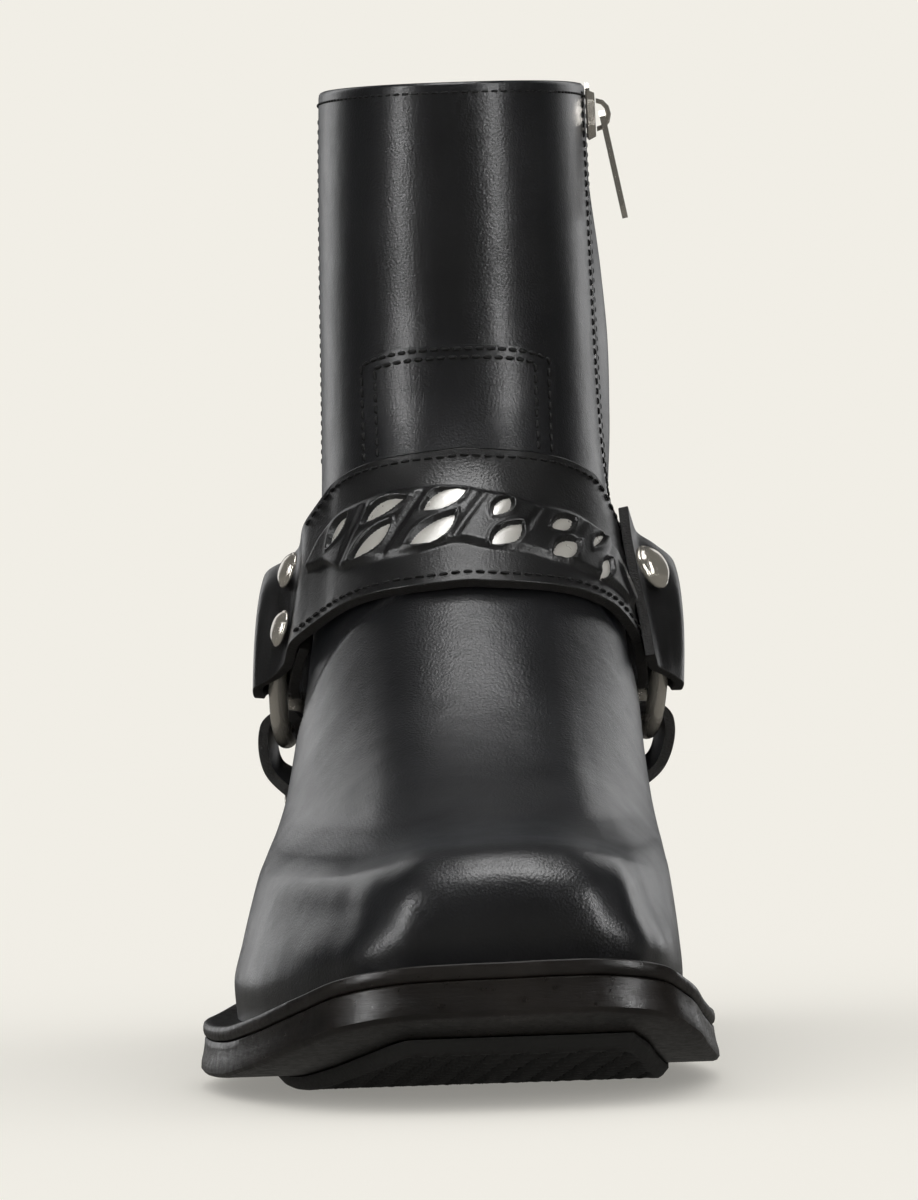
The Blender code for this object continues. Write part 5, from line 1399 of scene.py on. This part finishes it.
FOLD_SHARE = FOLD_LENGTH / (FOLD_LENGTH + RAMP_LENGTH)
OUTER_SHARES = np.array([0.12, 0.26, 0.40, FOLD_SHARE + 0.03, 0.82, 1.0])
INNER_SHARES = np.array([0.12, 0.28, 0.46, FOLD_SHARE])


def outer_lifts(bar, shares, bridge):
    """Lift of the outer layer: over the wire, down on the inner layer, then down to bridge above the skin."""
    over = bar[2] + LOOP_RADIUS
    rows = []
    for share in shares:
        onto = mix(over, SECOND_LAYER, ramp(0.09, 0.38, share))
        rows.append(mix(onto, LAYER, ramp(FOLD_SHARE, 1.0, share)) + bridge * ramp(0.0, 0.5, share))
    return rows


def inner_lifts(bar, shares, bridge=0.0):
    """Lift of the layer inside the wire, down to the skin or to a bridge above it."""
    rows = []
    for share in shares:
        onto = mix(bar[2] - LOOP_RADIUS, LAYER, ramp(0.09, 0.38, share))
        rows.append(onto + bridge * ramp(0.0, 0.5, share))
    return rows


def looped_end(frame, side, place, spread, flip, landing, bridge=0.0):
    """Rows from a strap's folded-back end, round the ring's wire and out to its landing on the skin."""
    bar = bar_on_skin(frame, side, place, spread, flip)
    inner = lifted_rows(bar, landing, INNER_SHARES[::-1], inner_lifts(bar, INNER_SHARES, bridge)[::-1])
    turn = turn_rows(frame, place, spread, flip)[::-1]
    outer = lifted_rows(bar, landing, OUTER_SHARES, outer_lifts(bar, OUTER_SHARES, bridge))
    return inner + turn + outer


def strap_heights(reach):
    """Middle height and half height of the instep strap at a share of the way to a ring."""
    table = np.array(STRAP_COURSE)
    drop = through(table[:, 0], table[:, 1], abs(reach))
    tall = through(table[:, 0], table[:, 2], abs(reach))
    return STRAP_HEIGHT - STRAP_DROP * drop, STRAP_TALL * tall / 2


def strap_row(around_ring, reach, spread=1.0):
    """The (around, up) across the strap; reach is -1 at the lateral ring and 1 at the medial one."""
    around = -reach * around_ring
    middle, half = strap_heights(reach)
    heights = middle + half * ACROSS_STRAP * spread
    return np.full(heights.shape, around), up_at_height(np.full(heights.shape, around % 1.0), heights)


def smooth_rows(rows, step=0.0006):
    """Rows joined by cubic curves through them, at places about a step apart."""
    rows = np.array(rows)
    gaps = np.linalg.norm(np.diff(rows, axis=0), axis=2).mean(axis=1)
    at = np.concatenate([[0.0], np.cumsum(gaps)])
    slopes = np.gradient(rows, at, axis=0)
    counts = np.maximum(np.ceil(gaps / step).astype(int), 1)
    found = []
    for k, count in enumerate(counts):
        t = (np.arange(count) / count)[:, None, None]
        h = gaps[k]
        found.append(
            (2 * t**3 - 3 * t**2 + 1) * rows[k]
            + (t**3 - 2 * t**2 + t) * h * slopes[k]
            + (3 * t**2 - 2 * t**3) * rows[k + 1]
            + (t**3 - t**2) * h * slopes[k + 1]
        )
    return np.concatenate([*found, rows[-1:]])


def faces_of(middle):
    """Unit normals of a grid of points."""
    normal = np.cross(np.gradient(middle, axis=0), np.gradient(middle, axis=1))
    return normal / np.linalg.norm(normal, axis=-1)[..., None]


def round_edges(piece, width):
    """Rounds a piece's cut edges with a narrow bevel."""
    rounding = piece.modifiers.new("edge", "BEVEL")
    rounding.width = width
    rounding.segments = 2
    rounding.limit_method = "ANGLE"
    rounding.angle_limit = math.radians(60)


def strap_piece(name, solid, middle, raised=0.0):
    """A strap round its middle surface, its cut edges rounded; raised lifts its outer face, in metres."""
    normal = faces_of(middle)
    half = STRAP_THICKNESS / 2
    raised = np.broadcast_to(raised, middle.shape[:2])[..., None]
    made = closed_sheet(name, middle - normal * half, middle + normal * (half + raised), strap_leather, 50.0)
    made.data.materials.append(raw_edge)
    walls = 2 * (middle.shape[0] - 1) * (middle.shape[1] - 1)
    cut = np.zeros(len(made.data.polygons), np.int32)
    cut[walls:] = 1
    made.data.polygons.foreach_set("material_index", cut)
    round_edges(made, 0.0004)
    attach(made, "boot")
    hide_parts(solid)
    return middle, normal


def instep_rows():
    """The wide strap's rows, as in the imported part, and where along them the band runs."""
    lateral_bar = bar_on_skin(frames[LATERAL], LATERAL, STRAP_END_ANGLE, STRAP_END_SPREAD)
    bar = bar_on_skin(frames[MEDIAL], MEDIAL, STRAP_END_ANGLE, STRAP_END_SPREAD)
    bar = (bar[0] - 1.0, bar[1], bar[2])
    lateral_ring = float(lateral_bar[0].mean())
    medial_ring = float(-bar[0].mean())
    landing = strap_row(lateral_ring, -LANDING_REACH)
    rows = looped_end(frames[LATERAL], LATERAL, STRAP_END_ANGLE, STRAP_END_SPREAD, 1.0, landing)
    for reach in np.linspace(-LANDING_REACH, LANDING_REACH, 17)[1:]:
        rows.append(skin(*strap_row(lateral_ring if reach < 0 else medial_ring, reach), LAYER))
    landing = strap_row(medial_ring, LANDING_REACH)
    under = np.array([0.75, 0.50, 0.30, 0.12])
    rows += lifted_rows(bar, landing, under, inner_lifts(bar, under))
    rows += turn_rows(frames[MEDIAL], STRAP_END_ANGLE, STRAP_END_SPREAD)[::-1]
    flared = strap_row(medial_ring, LANDING_REACH, TAB_FLARE)
    tab = np.array([0.12, 0.26, 0.40, 0.50, TAB_LENGTH / (FOLD_LENGTH + RAMP_LENGTH)])
    lifts = [mix(bar[2] + LOOP_RADIUS, SECOND_LAYER, ramp(0.09, 0.44, share)) for share in tab]
    return rows + lifted_rows(bar, flared, tab, lifts), lateral_ring, medial_ring


def heel_rows():
    heights = HEEL_STRAP_HEIGHT + ACROSS_STRAP * HEEL_STRAP_TALL / 2
    step = (FOLD_LENGTH + RAMP_LENGTH) / UPPER_GIRTH * 0.8
    ends = []
    edges = []
    for side in (LATERAL, MEDIAL):
        bar = bar_on_skin(frames[side], side, math.pi, HEEL_STRAP_SPREAD, -1.0)
        edges.append(float(bar[0].mean()) - side * step)
        places = np.full(heights.shape, edges[-1])
        landing = (places, up_at_height(places, heights))
        ends.append(looped_end(frames[side], side, math.pi, HEEL_STRAP_SPREAD, -1.0, landing))
    rows = ends[0]
    for around in np.linspace(*edges, 12)[1:-1]:
        places = np.full(heights.shape, around)
        rows.append(skin(places, up_at_height(places, heights), LAYER))
    return rows + ends[1][::-1]


def arch_rows(side):
    depths = RING_TO_TOE - ACROSS_STRAP * ARCH_STRAP_WIDTH / 2
    foot = np.full(depths.shape, ARCH_STRAP_FOOT)
    search = np.linspace(0.25, 0.48, 121)
    search = search if side == LATERAL else 1.0 - search
    line = bare_skin(search, np.full(search.shape, ARCH_STRAP_FOOT))[:, 1] + HEEL_CENTRE_TO_TOE
    landing = (np.interp(depths, line, search), foot)
    return looped_end(frames[side], side, -math.pi / 2, ARCH_STRAP_SPREAD, 1.0, landing, ARCH_BRIDGE)


rows, lateral_ring, medial_ring = instep_rows()
instep_middle = smooth_rows(rows)
heel_middle = smooth_rows(heel_rows())
heel_pair = strap_piece("heel_strap_leather", "heel_strap", heel_middle)
arch_pairs = {}
for side, solid in ((LATERAL, "arch_strap_lateral"), (MEDIAL, "arch_strap_medial")):
    arch_pairs[side] = strap_piece(solid + "_leather", solid, smooth_rows(arch_rows(side)))
print("instep strap", instep_middle.shape, "heel strap", heel_middle.shape)

# %% [markdown]
# ## Chain band under windows
#
# The wide strap carries the picture of a curb chain. A second leather layer is moulded over metal leaves and cut
# open above each, so every link shows as two bright leaves with a rolled leather rim. The band's raised shape is a
# height laid on the strap's outer face; each leaf is a lens bent along its length, given in millimetres along and
# across the strap, with its tilt.

# %% Chain
# along, across, half length, half width, tilt in degrees, bend
CHAIN_LEAVES = [
    (-30.0, 3.0, 5.6, 2.3, 38, 0.012), (-15.4, 4.3, 6.3, 2.2, 25, 0.022), (-18.2, -5.3, 7.2, 2.7, 37, -0.016),
    (-0.7, 4.4, 5.8, 2.8, 27, 0.012), (-3.2, -5.2, 7.0, 2.8, 37, -0.016), (12.4, 1.8, 3.8, 1.9, 56, 0.0),
    (13.3, -6.8, 5.1, 2.5, 43, -0.016), (27.2, -1.7, 4.2, 2.1, 34, 0.0), (27.4, -9.4, 5.0, 2.6, 35, -0.012),
    (39.0, -2.5, 4.9, 1.1, 44, 0.02), (40.5, -11.0, 4.9, 2.0, 55, -0.01),
]
BAND_TOP = [
    (-44, 2.0), (-38, 7.0), (-30, 8.6), (-22, 8.6), (-13, 9.4), (-4, 9.2), (6, 7.4), (14, 5.8),
    (22, 3.6), (30, 3.4), (38, 2.2), (48, 0.0), (56, -5.0)
]
BAND_BOTTOM = [
    (-44, 0.0), (-36, -4.6), (-26, -10.6), (-18, -11.2), (-8, -10.8), (1, -9.0), (9, -10.8),
    (16, -11.4), (24, -13.4), (32, -14.6), (42, -15.4), (50, -14.0), (56, -7.0)
]
BAND_RAISED = 0.00125
BAND_SLOPE = 0.0016
WINDOW_SLOPE = 0.0007
WINDOW_RIM = 0.00035
STRAP_COLUMNS = 84
STRAP_MIDDLE = STRAP_COLUMNS // 2
fine = np.linspace(0.0, 1.0, STRAP_COLUMNS)
old = (ACROSS_STRAP + 1) / 2
first = np.clip(np.searchsorted(old, fine, side="right") - 1, 0, len(old) - 2)
share = ((fine - old[first]) / (old[first + 1] - old[first]))[None, :, None]
instep_middle = smooth_rows(rows, 0.00050)
instep_middle = instep_middle[:, first] * (1 - share) + instep_middle[:, first + 1] * share
steps = np.linalg.norm(np.diff(instep_middle[:, STRAP_MIDDLE], axis=0), axis=1)
strap_run = np.concatenate([[0.0], np.cumsum(steps)])
strap_run -= strap_run[np.argmin(instep_middle[:, STRAP_MIDDLE, 1])]
half_wide = np.linalg.norm(instep_middle[:, -1] - instep_middle[:, 0], axis=1) / 2
run_mm = strap_run[:, None] * 1000 + np.zeros(STRAP_COLUMNS)
across_mm = (fine * 2 - 1)[None, :] * half_wide[:, None] * 1000


def leaf_field(along, across, leaf):
    """Roughly how far, in millimetres, a place lies inside a leaf; negative outside."""
    at, off, half_long, half_thick, tilt, bend = leaf
    turn = math.radians(tilt)
    u = (along - at) * math.cos(turn) + (across - off) * math.sin(turn)
    w = (across - off) * math.cos(turn) - (along - at) * math.sin(turn) + bend * u**2
    return half_thick * (1 - (u / half_long) ** 2) - np.abs(w)


band = np.array(BAND_TOP), np.array(BAND_BOTTOM)
top = through(band[0][:, 0], band[0][:, 1], np.clip(run_mm, -44, 56))
bottom = through(band[1][:, 0], band[1][:, 1], np.clip(run_mm, -44, 56))
inside = np.minimum(top - across_mm, across_mm - bottom)
inside = np.where((run_mm > -43.5) & (run_mm < 55.5), inside, -9.0)
raised = BAND_RAISED * ramp(-0.4, BAND_SLOPE * 1000, inside)
nearest = np.max([leaf_field(run_mm, across_mm, leaf) for leaf in CHAIN_LEAVES], axis=0)
rim = bump_at(nearest, -0.7, 0.9) * WINDOW_RIM * ramp(-0.4, 1.0, inside)
furrow = np.zeros(run_mm.shape)
for at in (-24.0, -9.5, 5.5, 20.0, 33.5, 46.0):
    crease = (run_mm - at) - across_mm * 0.55
    furrow += bump_at(crease, 0.0, 1.6) * 0.00045 * ramp(-0.4, 2.0, inside)
bulge = ramp(0.0, 2.0, leaf_field(run_mm, across_mm, (50.0, -9.0, 6.0, 3.4, -50, 0.0))) * 0.0008
raised = (raised + rim - furrow + bulge) * (
    1 - ramp(-WINDOW_SLOPE * 500, WINDOW_SLOPE * 500, nearest)
) + 0.00002
side_of_face = np.sign(
    (faces_of(instep_middle)[np.argmin(np.abs(strap_run)), STRAP_MIDDLE] * np.array([0, -1, 0.5])).sum()
)
middle_now = instep_middle if side_of_face > 0 else instep_middle[:, ::-1]
raised_now = raised if side_of_face > 0 else raised[:, ::-1]
strap_piece("instep_strap_leather", "instep_strap", middle_now, raised_now)
outer_face = instep_middle + faces_of(instep_middle) * side_of_face * STRAP_THICKNESS / 2


def on_strap(along, across, lift):
    """Points on the strap's outer face at millimetres along and across it, raised by lift metres."""
    row = np.interp(along / 1000, strap_run, np.arange(len(strap_run)))
    wide = np.interp(row, np.arange(len(half_wide)), half_wide) * 1000
    column = np.clip((across / wide + 1) / 2, 0, 1) * (STRAP_COLUMNS - 1)
    r = np.clip(np.floor(row).astype(int), 0, len(strap_run) - 2)
    c = np.clip(np.floor(column).astype(int), 0, STRAP_COLUMNS - 2)
    fr, fc = (row - r)[..., None], (column - c)[..., None]
    spot = (outer_face[r, c] * (1 - fr) + outer_face[r + 1, c] * fr) * (1 - fc) + (
        outer_face[r, c + 1] * (1 - fr) + outer_face[r + 1, c + 1] * fr
    ) * fc
    facing = faces_of(instep_middle)[r, c] * side_of_face
    return spot + facing * np.asarray(lift)[..., None], facing


LEAF_ROUND = 56
LEAF_RINGS = 9
for index, (at, off, half_long, half_thick, tilt, bend) in enumerate(CHAIN_LEAVES):
    angle = np.linspace(0, 2 * math.pi, LEAF_ROUND, endpoint=False)
    radius = np.linspace(0.04, 1.0, LEAF_RINGS)[:, None]
    u = radius * np.cos(angle) * half_long * 1.10
    w = radius * np.sin(angle) * half_thick * 1.12 - bend * u**2
    turn = math.radians(tilt)
    along = at + u * math.cos(turn) - w * math.sin(turn)
    across = off + u * math.sin(turn) + w * math.cos(turn)
    dome = 0.00012 + 0.00035 * (1 - radius**2) + 0 * angle
    front, _ = on_strap(along, across, dome)
    back, _ = on_strap(along[-1:], across[-1:], np.full((1, LEAF_ROUND), 0.00003))
    body = np.concatenate([front, back])
    faces = grid_faces(len(body), LEAF_ROUND, around=True).tolist()
    faces += [list(range(LEAF_ROUND))[::-1], [LEAF_RINGS * LEAF_ROUND + k for k in range(LEAF_ROUND)]]
    made = mesh_object(f"chain_window_{index + 1:02d}", body, faces, brushed_metal, 50.0)
    outward(made)
    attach(made, "boot")
    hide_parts(f"chain_leaf_{index + 1:02d}")

# %% [markdown]
# ## Rivets and the snap
#
# A rivet is a turned cap pressed over its post, and the snap is the same with a taller cap and a collar. Each is a
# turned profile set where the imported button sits: its back lies on the strap, its axis is the strap's own normal.

# %% Rivets and snap
# share of the radius, share of the height
RIVET_PROFILE = [
    (0.0, 0.0), (0.98, 0.0), (1.0, 0.10), (0.985, 0.24), (0.93, 0.34), (0.90, 0.36), (0.87, 0.42),
    (0.80, 0.58), (0.68, 0.76), (0.52, 0.90), (0.34, 0.97), (0.16, 0.995), (0.0, 1.0)
]
BUTTON_STEPS = 64
for solid in (
    "rivet_instep_1", "rivet_instep_2", "rivet_heel_lateral", "rivet_heel_medial", "rivet_arch_lateral",
    "rivet_arch_medial", "snap_cap"
):
    corners = np.array([v.co for v in frame["nodes"][solid].data.vertices])
    centre = corners.mean(axis=0)
    _, _, spread = np.linalg.svd(corners - centre)
    axis = spread[2] * np.sign(spread[2][0] * centre[0])
    axis = axis / np.linalg.norm(axis)
    rise = (corners - centre) @ axis
    foot = centre + axis * rise.min()
    tall = rise.max() - rise.min()
    wide = np.linalg.norm(corners - centre - rise[:, None] * axis, axis=1).max()
    first = np.cross(axis, [0.0, 0.0, 1.0])
    first = first / np.linalg.norm(first)
    second = np.cross(axis, first)
    angle = np.linspace(0, 2 * math.pi, BUTTON_STEPS, endpoint=False)[:, None]
    around_axis = np.cos(angle) * first + np.sin(angle) * second
    loops = [
        foot + around_axis * wide * radius + axis * tall * height for radius,
        height in RIVET_PROFILE[1:-1]
    ]
    body = np.concatenate([np.array(loops).reshape(-1, 3), [foot + axis * tall]])
    faces = grid_faces(len(loops), BUTTON_STEPS, around=True).tolist()
    last = (len(loops) - 1) * BUTTON_STEPS
    faces += [[last + k, last + (k + 1) % BUTTON_STEPS, len(body) - 1] for k in range(BUTTON_STEPS)]
    faces.append(list(range(BUTTON_STEPS))[::-1])
    made = mesh_object(solid + "_turned", body, faces, nickel, 50.0)
    outward(made)
    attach(made, "boot")
    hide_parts(solid)
print("buttons turned:", 7)

# %% [markdown]
# ## Panel on the shaft
#
# A stitched leather panel stiffens the front of the shaft above the strap. It is cut thin, skived at its edge, and
# sewn down with two rows. Its outline starts on the strap's upper edge and closes in a flat arch.

# %% Panel
PANEL_ROWS = 60
PANEL_COLUMNS = 61


def panel_grid():
    """Around and up values of the panel, from just above the strap to its rounded top."""
    reach = np.linspace(-LANDING_REACH, LANDING_REACH, 41)
    around = -reach * np.where(reach < 0, lateral_ring, medial_ring)
    middle, half = strap_heights(reach)
    up = up_at_height(around % 1.0, middle + half)
    edge = bare_skin(around % 1.0, up)[:, 0]
    shares = np.sin(np.linspace(-1.0, 1.0, PANEL_COLUMNS) * math.pi / 2)
    across = PATCH_SHIFT + shares * PATCH_WIDTH / 2
    low_around = np.interp(across, edge, around)
    low_up = np.interp(across, edge, up) + PATCH_CLEAR / SKIN_RISE
    top = PATCH_TOP_HEIGHT - PATCH_ARCH * (1 - (1 - np.abs(shares) ** PATCH_CORNER) ** (1 / PATCH_CORNER))
    target = np.stack([across, top], -1)
    top_around, top_up = view_to_skin(target, FRONT_VIEW, low_around, np.full(PANEL_COLUMNS, 0.75))
    share = np.linspace(0.0, 1.0, PANEL_ROWS)[:, None]
    return mix(low_around, top_around, share), mix(low_up, top_up, share)


panel_around, panel_up = panel_grid()
panel = closed_sheet(
    "shaft_panel", skin(panel_around, panel_up, SKIN_GAP + PATCH_THICKNESS),
    skin(panel_around, panel_up, SKIN_GAP), calf, 40.0
)
round_edges(panel, 0.0003)
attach(panel, "boot")
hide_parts("instep_patch")

# %% [markdown]
# ## Stitches
#
# Every edge is sewn with waxed thread: a lock stitch that dips into a hole, lies on the leather for two millimetres
# and dips again. One short rounded dash is laid along each path at an even pitch, turned with the leather, and all
# dashes of a path are joined in one mesh.

# %% Stitch maker
STITCH_PITCH = 0.0028
STITCH_LENGTH = 0.0021
THREAD_RADIUS = 0.00036
# share of the half length, share of the thread's radius
STITCH_SHAPE = [(-1.0, 0.25), (-0.8, 0.8), (-0.35, 1.0), (0.35, 1.0), (0.8, 0.8), (1.0, 0.25)]
STITCH_SIDES = 6


def stitches(name, path, facing, pitch=STITCH_PITCH, length=STITCH_LENGTH, radius=THREAD_RADIUS, finish=None):
    """Dashes of thread along a path of points; facing is the leather's outward direction at each."""
    gaps = np.linalg.norm(np.diff(path, axis=0), axis=1)
    run = np.concatenate([[0.0], np.cumsum(gaps)])
    count = max(int(run[-1] / pitch), 1)
    at = (np.arange(count) + 0.5) * run[-1] / count

    def pick(values, where):
        return np.stack([np.interp(where, run, values[:, k]) for k in range(3)], -1)

    middle = pick(path, at)
    along = pick(path, at + length / 2) - pick(path, at - length / 2)
    along = along / np.linalg.norm(along, axis=1)[:, None]
    out = pick(facing, at)
    out = out - along * (out * along).sum(axis=1)[:, None]
    out = out / np.linalg.norm(out, axis=1)[:, None]
    side = np.cross(along, out)
    shape = np.array(STITCH_SHAPE)
    angle = np.linspace(0, 2 * math.pi, STITCH_SIDES, endpoint=False)
    reach = shape[:, 0, None] * length / 2 + 0 * angle
    wide = shape[:, 1, None] * radius * np.cos(angle)
    high = shape[:, 1, None] * radius * np.sin(angle) - 0.0002 * (shape[:, 0, None] ** 2)
    body = (
        middle[:, None, None]
        + along[:, None, None] * reach[None, ..., None]
        + side[:, None, None] * wide[None, ..., None]
        + out[:, None, None] * high[None, ..., None]
    )
    rings = len(shape)
    one = grid_faces(rings, STITCH_SIDES, around=True)
    step = rings * STITCH_SIDES
    faces = (one[None] + np.arange(count)[:, None, None] * step).reshape(-1, 4).tolist()
    for k in range(count):
        faces.append([k * step + c for c in reversed(range(STITCH_SIDES))])
        faces.append([k * step + (rings - 1) * STITCH_SIDES + c for c in range(STITCH_SIDES)])
    made = mesh_object(name, body, faces, finish or thread, 60.0)
    outward(made)
    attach(made, "boot")
    return count


def facing_of(around, up):
    direction = skin(around, up, 0.001) - skin(around, up, 0.0)
    return direction / np.linalg.norm(direction, axis=-1)[..., None]


# %% Stitches of the harness
EDGE_ROOM = 2.3
total = 0
along = np.linspace(-46.0, 62.0, 400)
wide = np.interp(along / 1000, strap_run, half_wide) * 1000
for label, sign in (("upper", 1), ("lower", -1)):
    path, facing = on_strap(along, sign * (wide - EDGE_ROOM), np.full(along.shape, 0.00025))
    total += stitches(f"strap_stitches_{label}", path, facing)
heel_mid, heel_normal = heel_pair
heel_normal = heel_normal * np.sign((heel_normal[len(heel_mid) // 2, 15] * np.array([0, 1, 0])).sum())
span = slice(int(len(heel_mid) * 0.30), int(len(heel_mid) * 0.70))
for label, column in (("upper", 28), ("lower", 2)):
    path = heel_mid[span, column] + heel_normal[span, column] * (STRAP_THICKNESS / 2 + 0.0002)
    total += stitches(f"heel_strap_stitches_{label}", path, heel_normal[span, column])
print("stitches on the straps:", total)

# %% Stitches of the panel, collar and zip
total = 0


def panel_path(room):
    """Up one side of the panel, over the top and down the other side, room metres inside its edge."""
    side = 1 - 2 * room / PATCH_WIDTH
    columns = np.sin(np.linspace(-1.0, 1.0, PANEL_COLUMNS) * math.pi / 2)
    top = 1.0 - room / 0.040
    rise = np.linspace(0.02, top, 60)
    across = np.concatenate([np.full(59, -side), np.linspace(-side, side, 80), np.full(59, side)])
    share = np.concatenate([rise[:-1], np.full(80, top), rise[::-1][1:]])
    corner = np.abs(across) > side - 0.12
    share = np.where(corner & (share > top - 0.06), np.minimum(share, top), share)
    rows_at = share * (PANEL_ROWS - 1)
    cols_at = np.interp(across, columns, np.arange(PANEL_COLUMNS))
    r = np.clip(rows_at.astype(int), 0, PANEL_ROWS - 2)
    c = np.clip(cols_at.astype(int), 0, PANEL_COLUMNS - 2)
    fr, fc = rows_at - r, cols_at - c
    found = []
    for grid in (panel_around, panel_up):
        low = grid[r, c] * (1 - fc) + grid[r, c + 1] * fc
        high = grid[r + 1, c] * (1 - fc) + grid[r + 1, c + 1] * fc
        found.append(low * (1 - fr) + high * fr)
    return found


for label, room in (("outer", 0.0014), ("inner", 0.0044)):
    around, up = panel_path(room)
    path = skin(around, up, SKIN_GAP + PATCH_THICKNESS + 0.0002)
    total += stitches(f"panel_stitches_{label}", path, facing_of(around, up), 0.0027, 0.0021, 0.00050)
around = np.linspace(0.0, 1.0, 900)
around = around[np.abs(around - ZIP_PLACE) > 0.022]
up = np.full(around.shape, 1.0 - 0.0024 / SKIN_RISE)
total += stitches("collar_stitches", skin(around, up, 0.0002), facing_of(around, up), 0.0024, 0.0017, 0.00028)
up = np.linspace(groove_foot + 0.01, 0.995, 300)
for label, sign in (("front", 1), ("back", -1)):
    around = zip_around(up) + sign * (ZIP_HALF + GROOVE_WALL + 0.0042) / UPPER_GIRTH
    total += stitches(
        f"zip_stitches_{label}", skin(around, up, 0.0003), facing_of(around, up), 0.0024, 0.0017,
        0.00028
    )
up = np.linspace(0.72, 0.985, 260)
around = np.full(up.shape, 0.262)
total += stitches(
    "side_seam_stitches", skin(around, up, 0.0002), facing_of(around, up), 0.0024, 0.0017, 0.00028
)
print("stitches on the upper:", total)

# %% [markdown]
# ## Zip
#
# A coil or metal zip is two tapes with a row of teeth each. The teeth are stamped on at an even pitch, the two rows
# half a pitch apart so that they lock. The slider, its bail, the pull and the stop are kept as packed, since they
# move or hold as they are; they only get their finish here.

# %% Zip teeth and tape
TOOTH_RUN = 0.0016
heights = np.arange(ZIP_FOOT_HEIGHT + 0.004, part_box("zip_chain")[1][2] - 0.001, TOOTH_RUN)
corners = np.array(
    [
        [-1, -1, -1], [1, -1, -1], [1, 1, -1], [-1, 1, -1], [-0.8, -0.7, 1], [0.8, -0.7, 1],
        [0.8, 0.7, 1], [-0.8, 0.7, 1]
    ],
    float
)
box_faces = np.array([[3, 2, 1, 0], [4, 5, 6, 7], [0, 1, 5, 4], [1, 2, 6, 5], [2, 3, 7, 6], [3, 0, 4, 7]])
points = []
for row, sign in enumerate((1, -1)):
    z = heights + row * TOOTH_RUN / 2
    guess = np.full(z.shape, ZIP_PLACE)
    for _ in range(4):
        up = up_at_height(guess, z)
        guess = zip_around(up)
    off = guess + sign * 0.00075 / UPPER_GIRTH
    base = skin(off, up, -ZIP_GROOVE + GAP + ZIP_THICKNESS * 0.6)
    out = facing_of(off, up)
    rise = np.gradient(base, axis=0)
    rise = rise / np.linalg.norm(rise, axis=1)[:, None]
    side = np.cross(out, rise)
    half = np.array([0.0011, 0.00052, 0.00045])
    points.append(
        base[:, None] + side[:, None] * corners[None, :, :1] * half[0] + rise[:, None] * corners[None, :, 1:2] * half[1] + out[:, None] * corners[None, :, 2:] * half[2]
    )
points = np.concatenate(points)
faces = (box_faces[None] + np.arange(len(points))[:, None, None] * 8).reshape(-1, 4)
teeth = mesh_object("zip_teeth", points, faces, zip_metal, 30.0)
outward(teeth)
up = up_at_height(np.full(160, ZIP_PLACE), np.linspace(ZIP_FOOT_HEIGHT + 0.001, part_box("zip_chain")[1][2], 160))
middle = zip_around(up)
offs = np.linspace(-1, 1, 9) * ZIP_WIDTH / 2 / UPPER_GIRTH
grid_around = middle[:, None] + offs
grid_up = np.broadcast_to(up[:, None], grid_around.shape)
tape_piece = closed_sheet(
    "zip_tape", skin(grid_around, grid_up, -ZIP_GROOVE + GAP + 0.0004),
    skin(grid_around, grid_up, -ZIP_GROOVE + GAP), tape
)
for piece in (teeth, tape_piece):
    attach(piece, "boot")
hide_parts("zip_chain")
for solid, finish in (
    ("zip_slider", nickel), ("zip_bail", nickel), ("zip_pull", nickel), ("zip_stop", nickel)
):
    packed = frame["nodes"][solid]
    packed.data.materials.clear()
    packed.data.materials.append(finish)
print("teeth:", len(points))
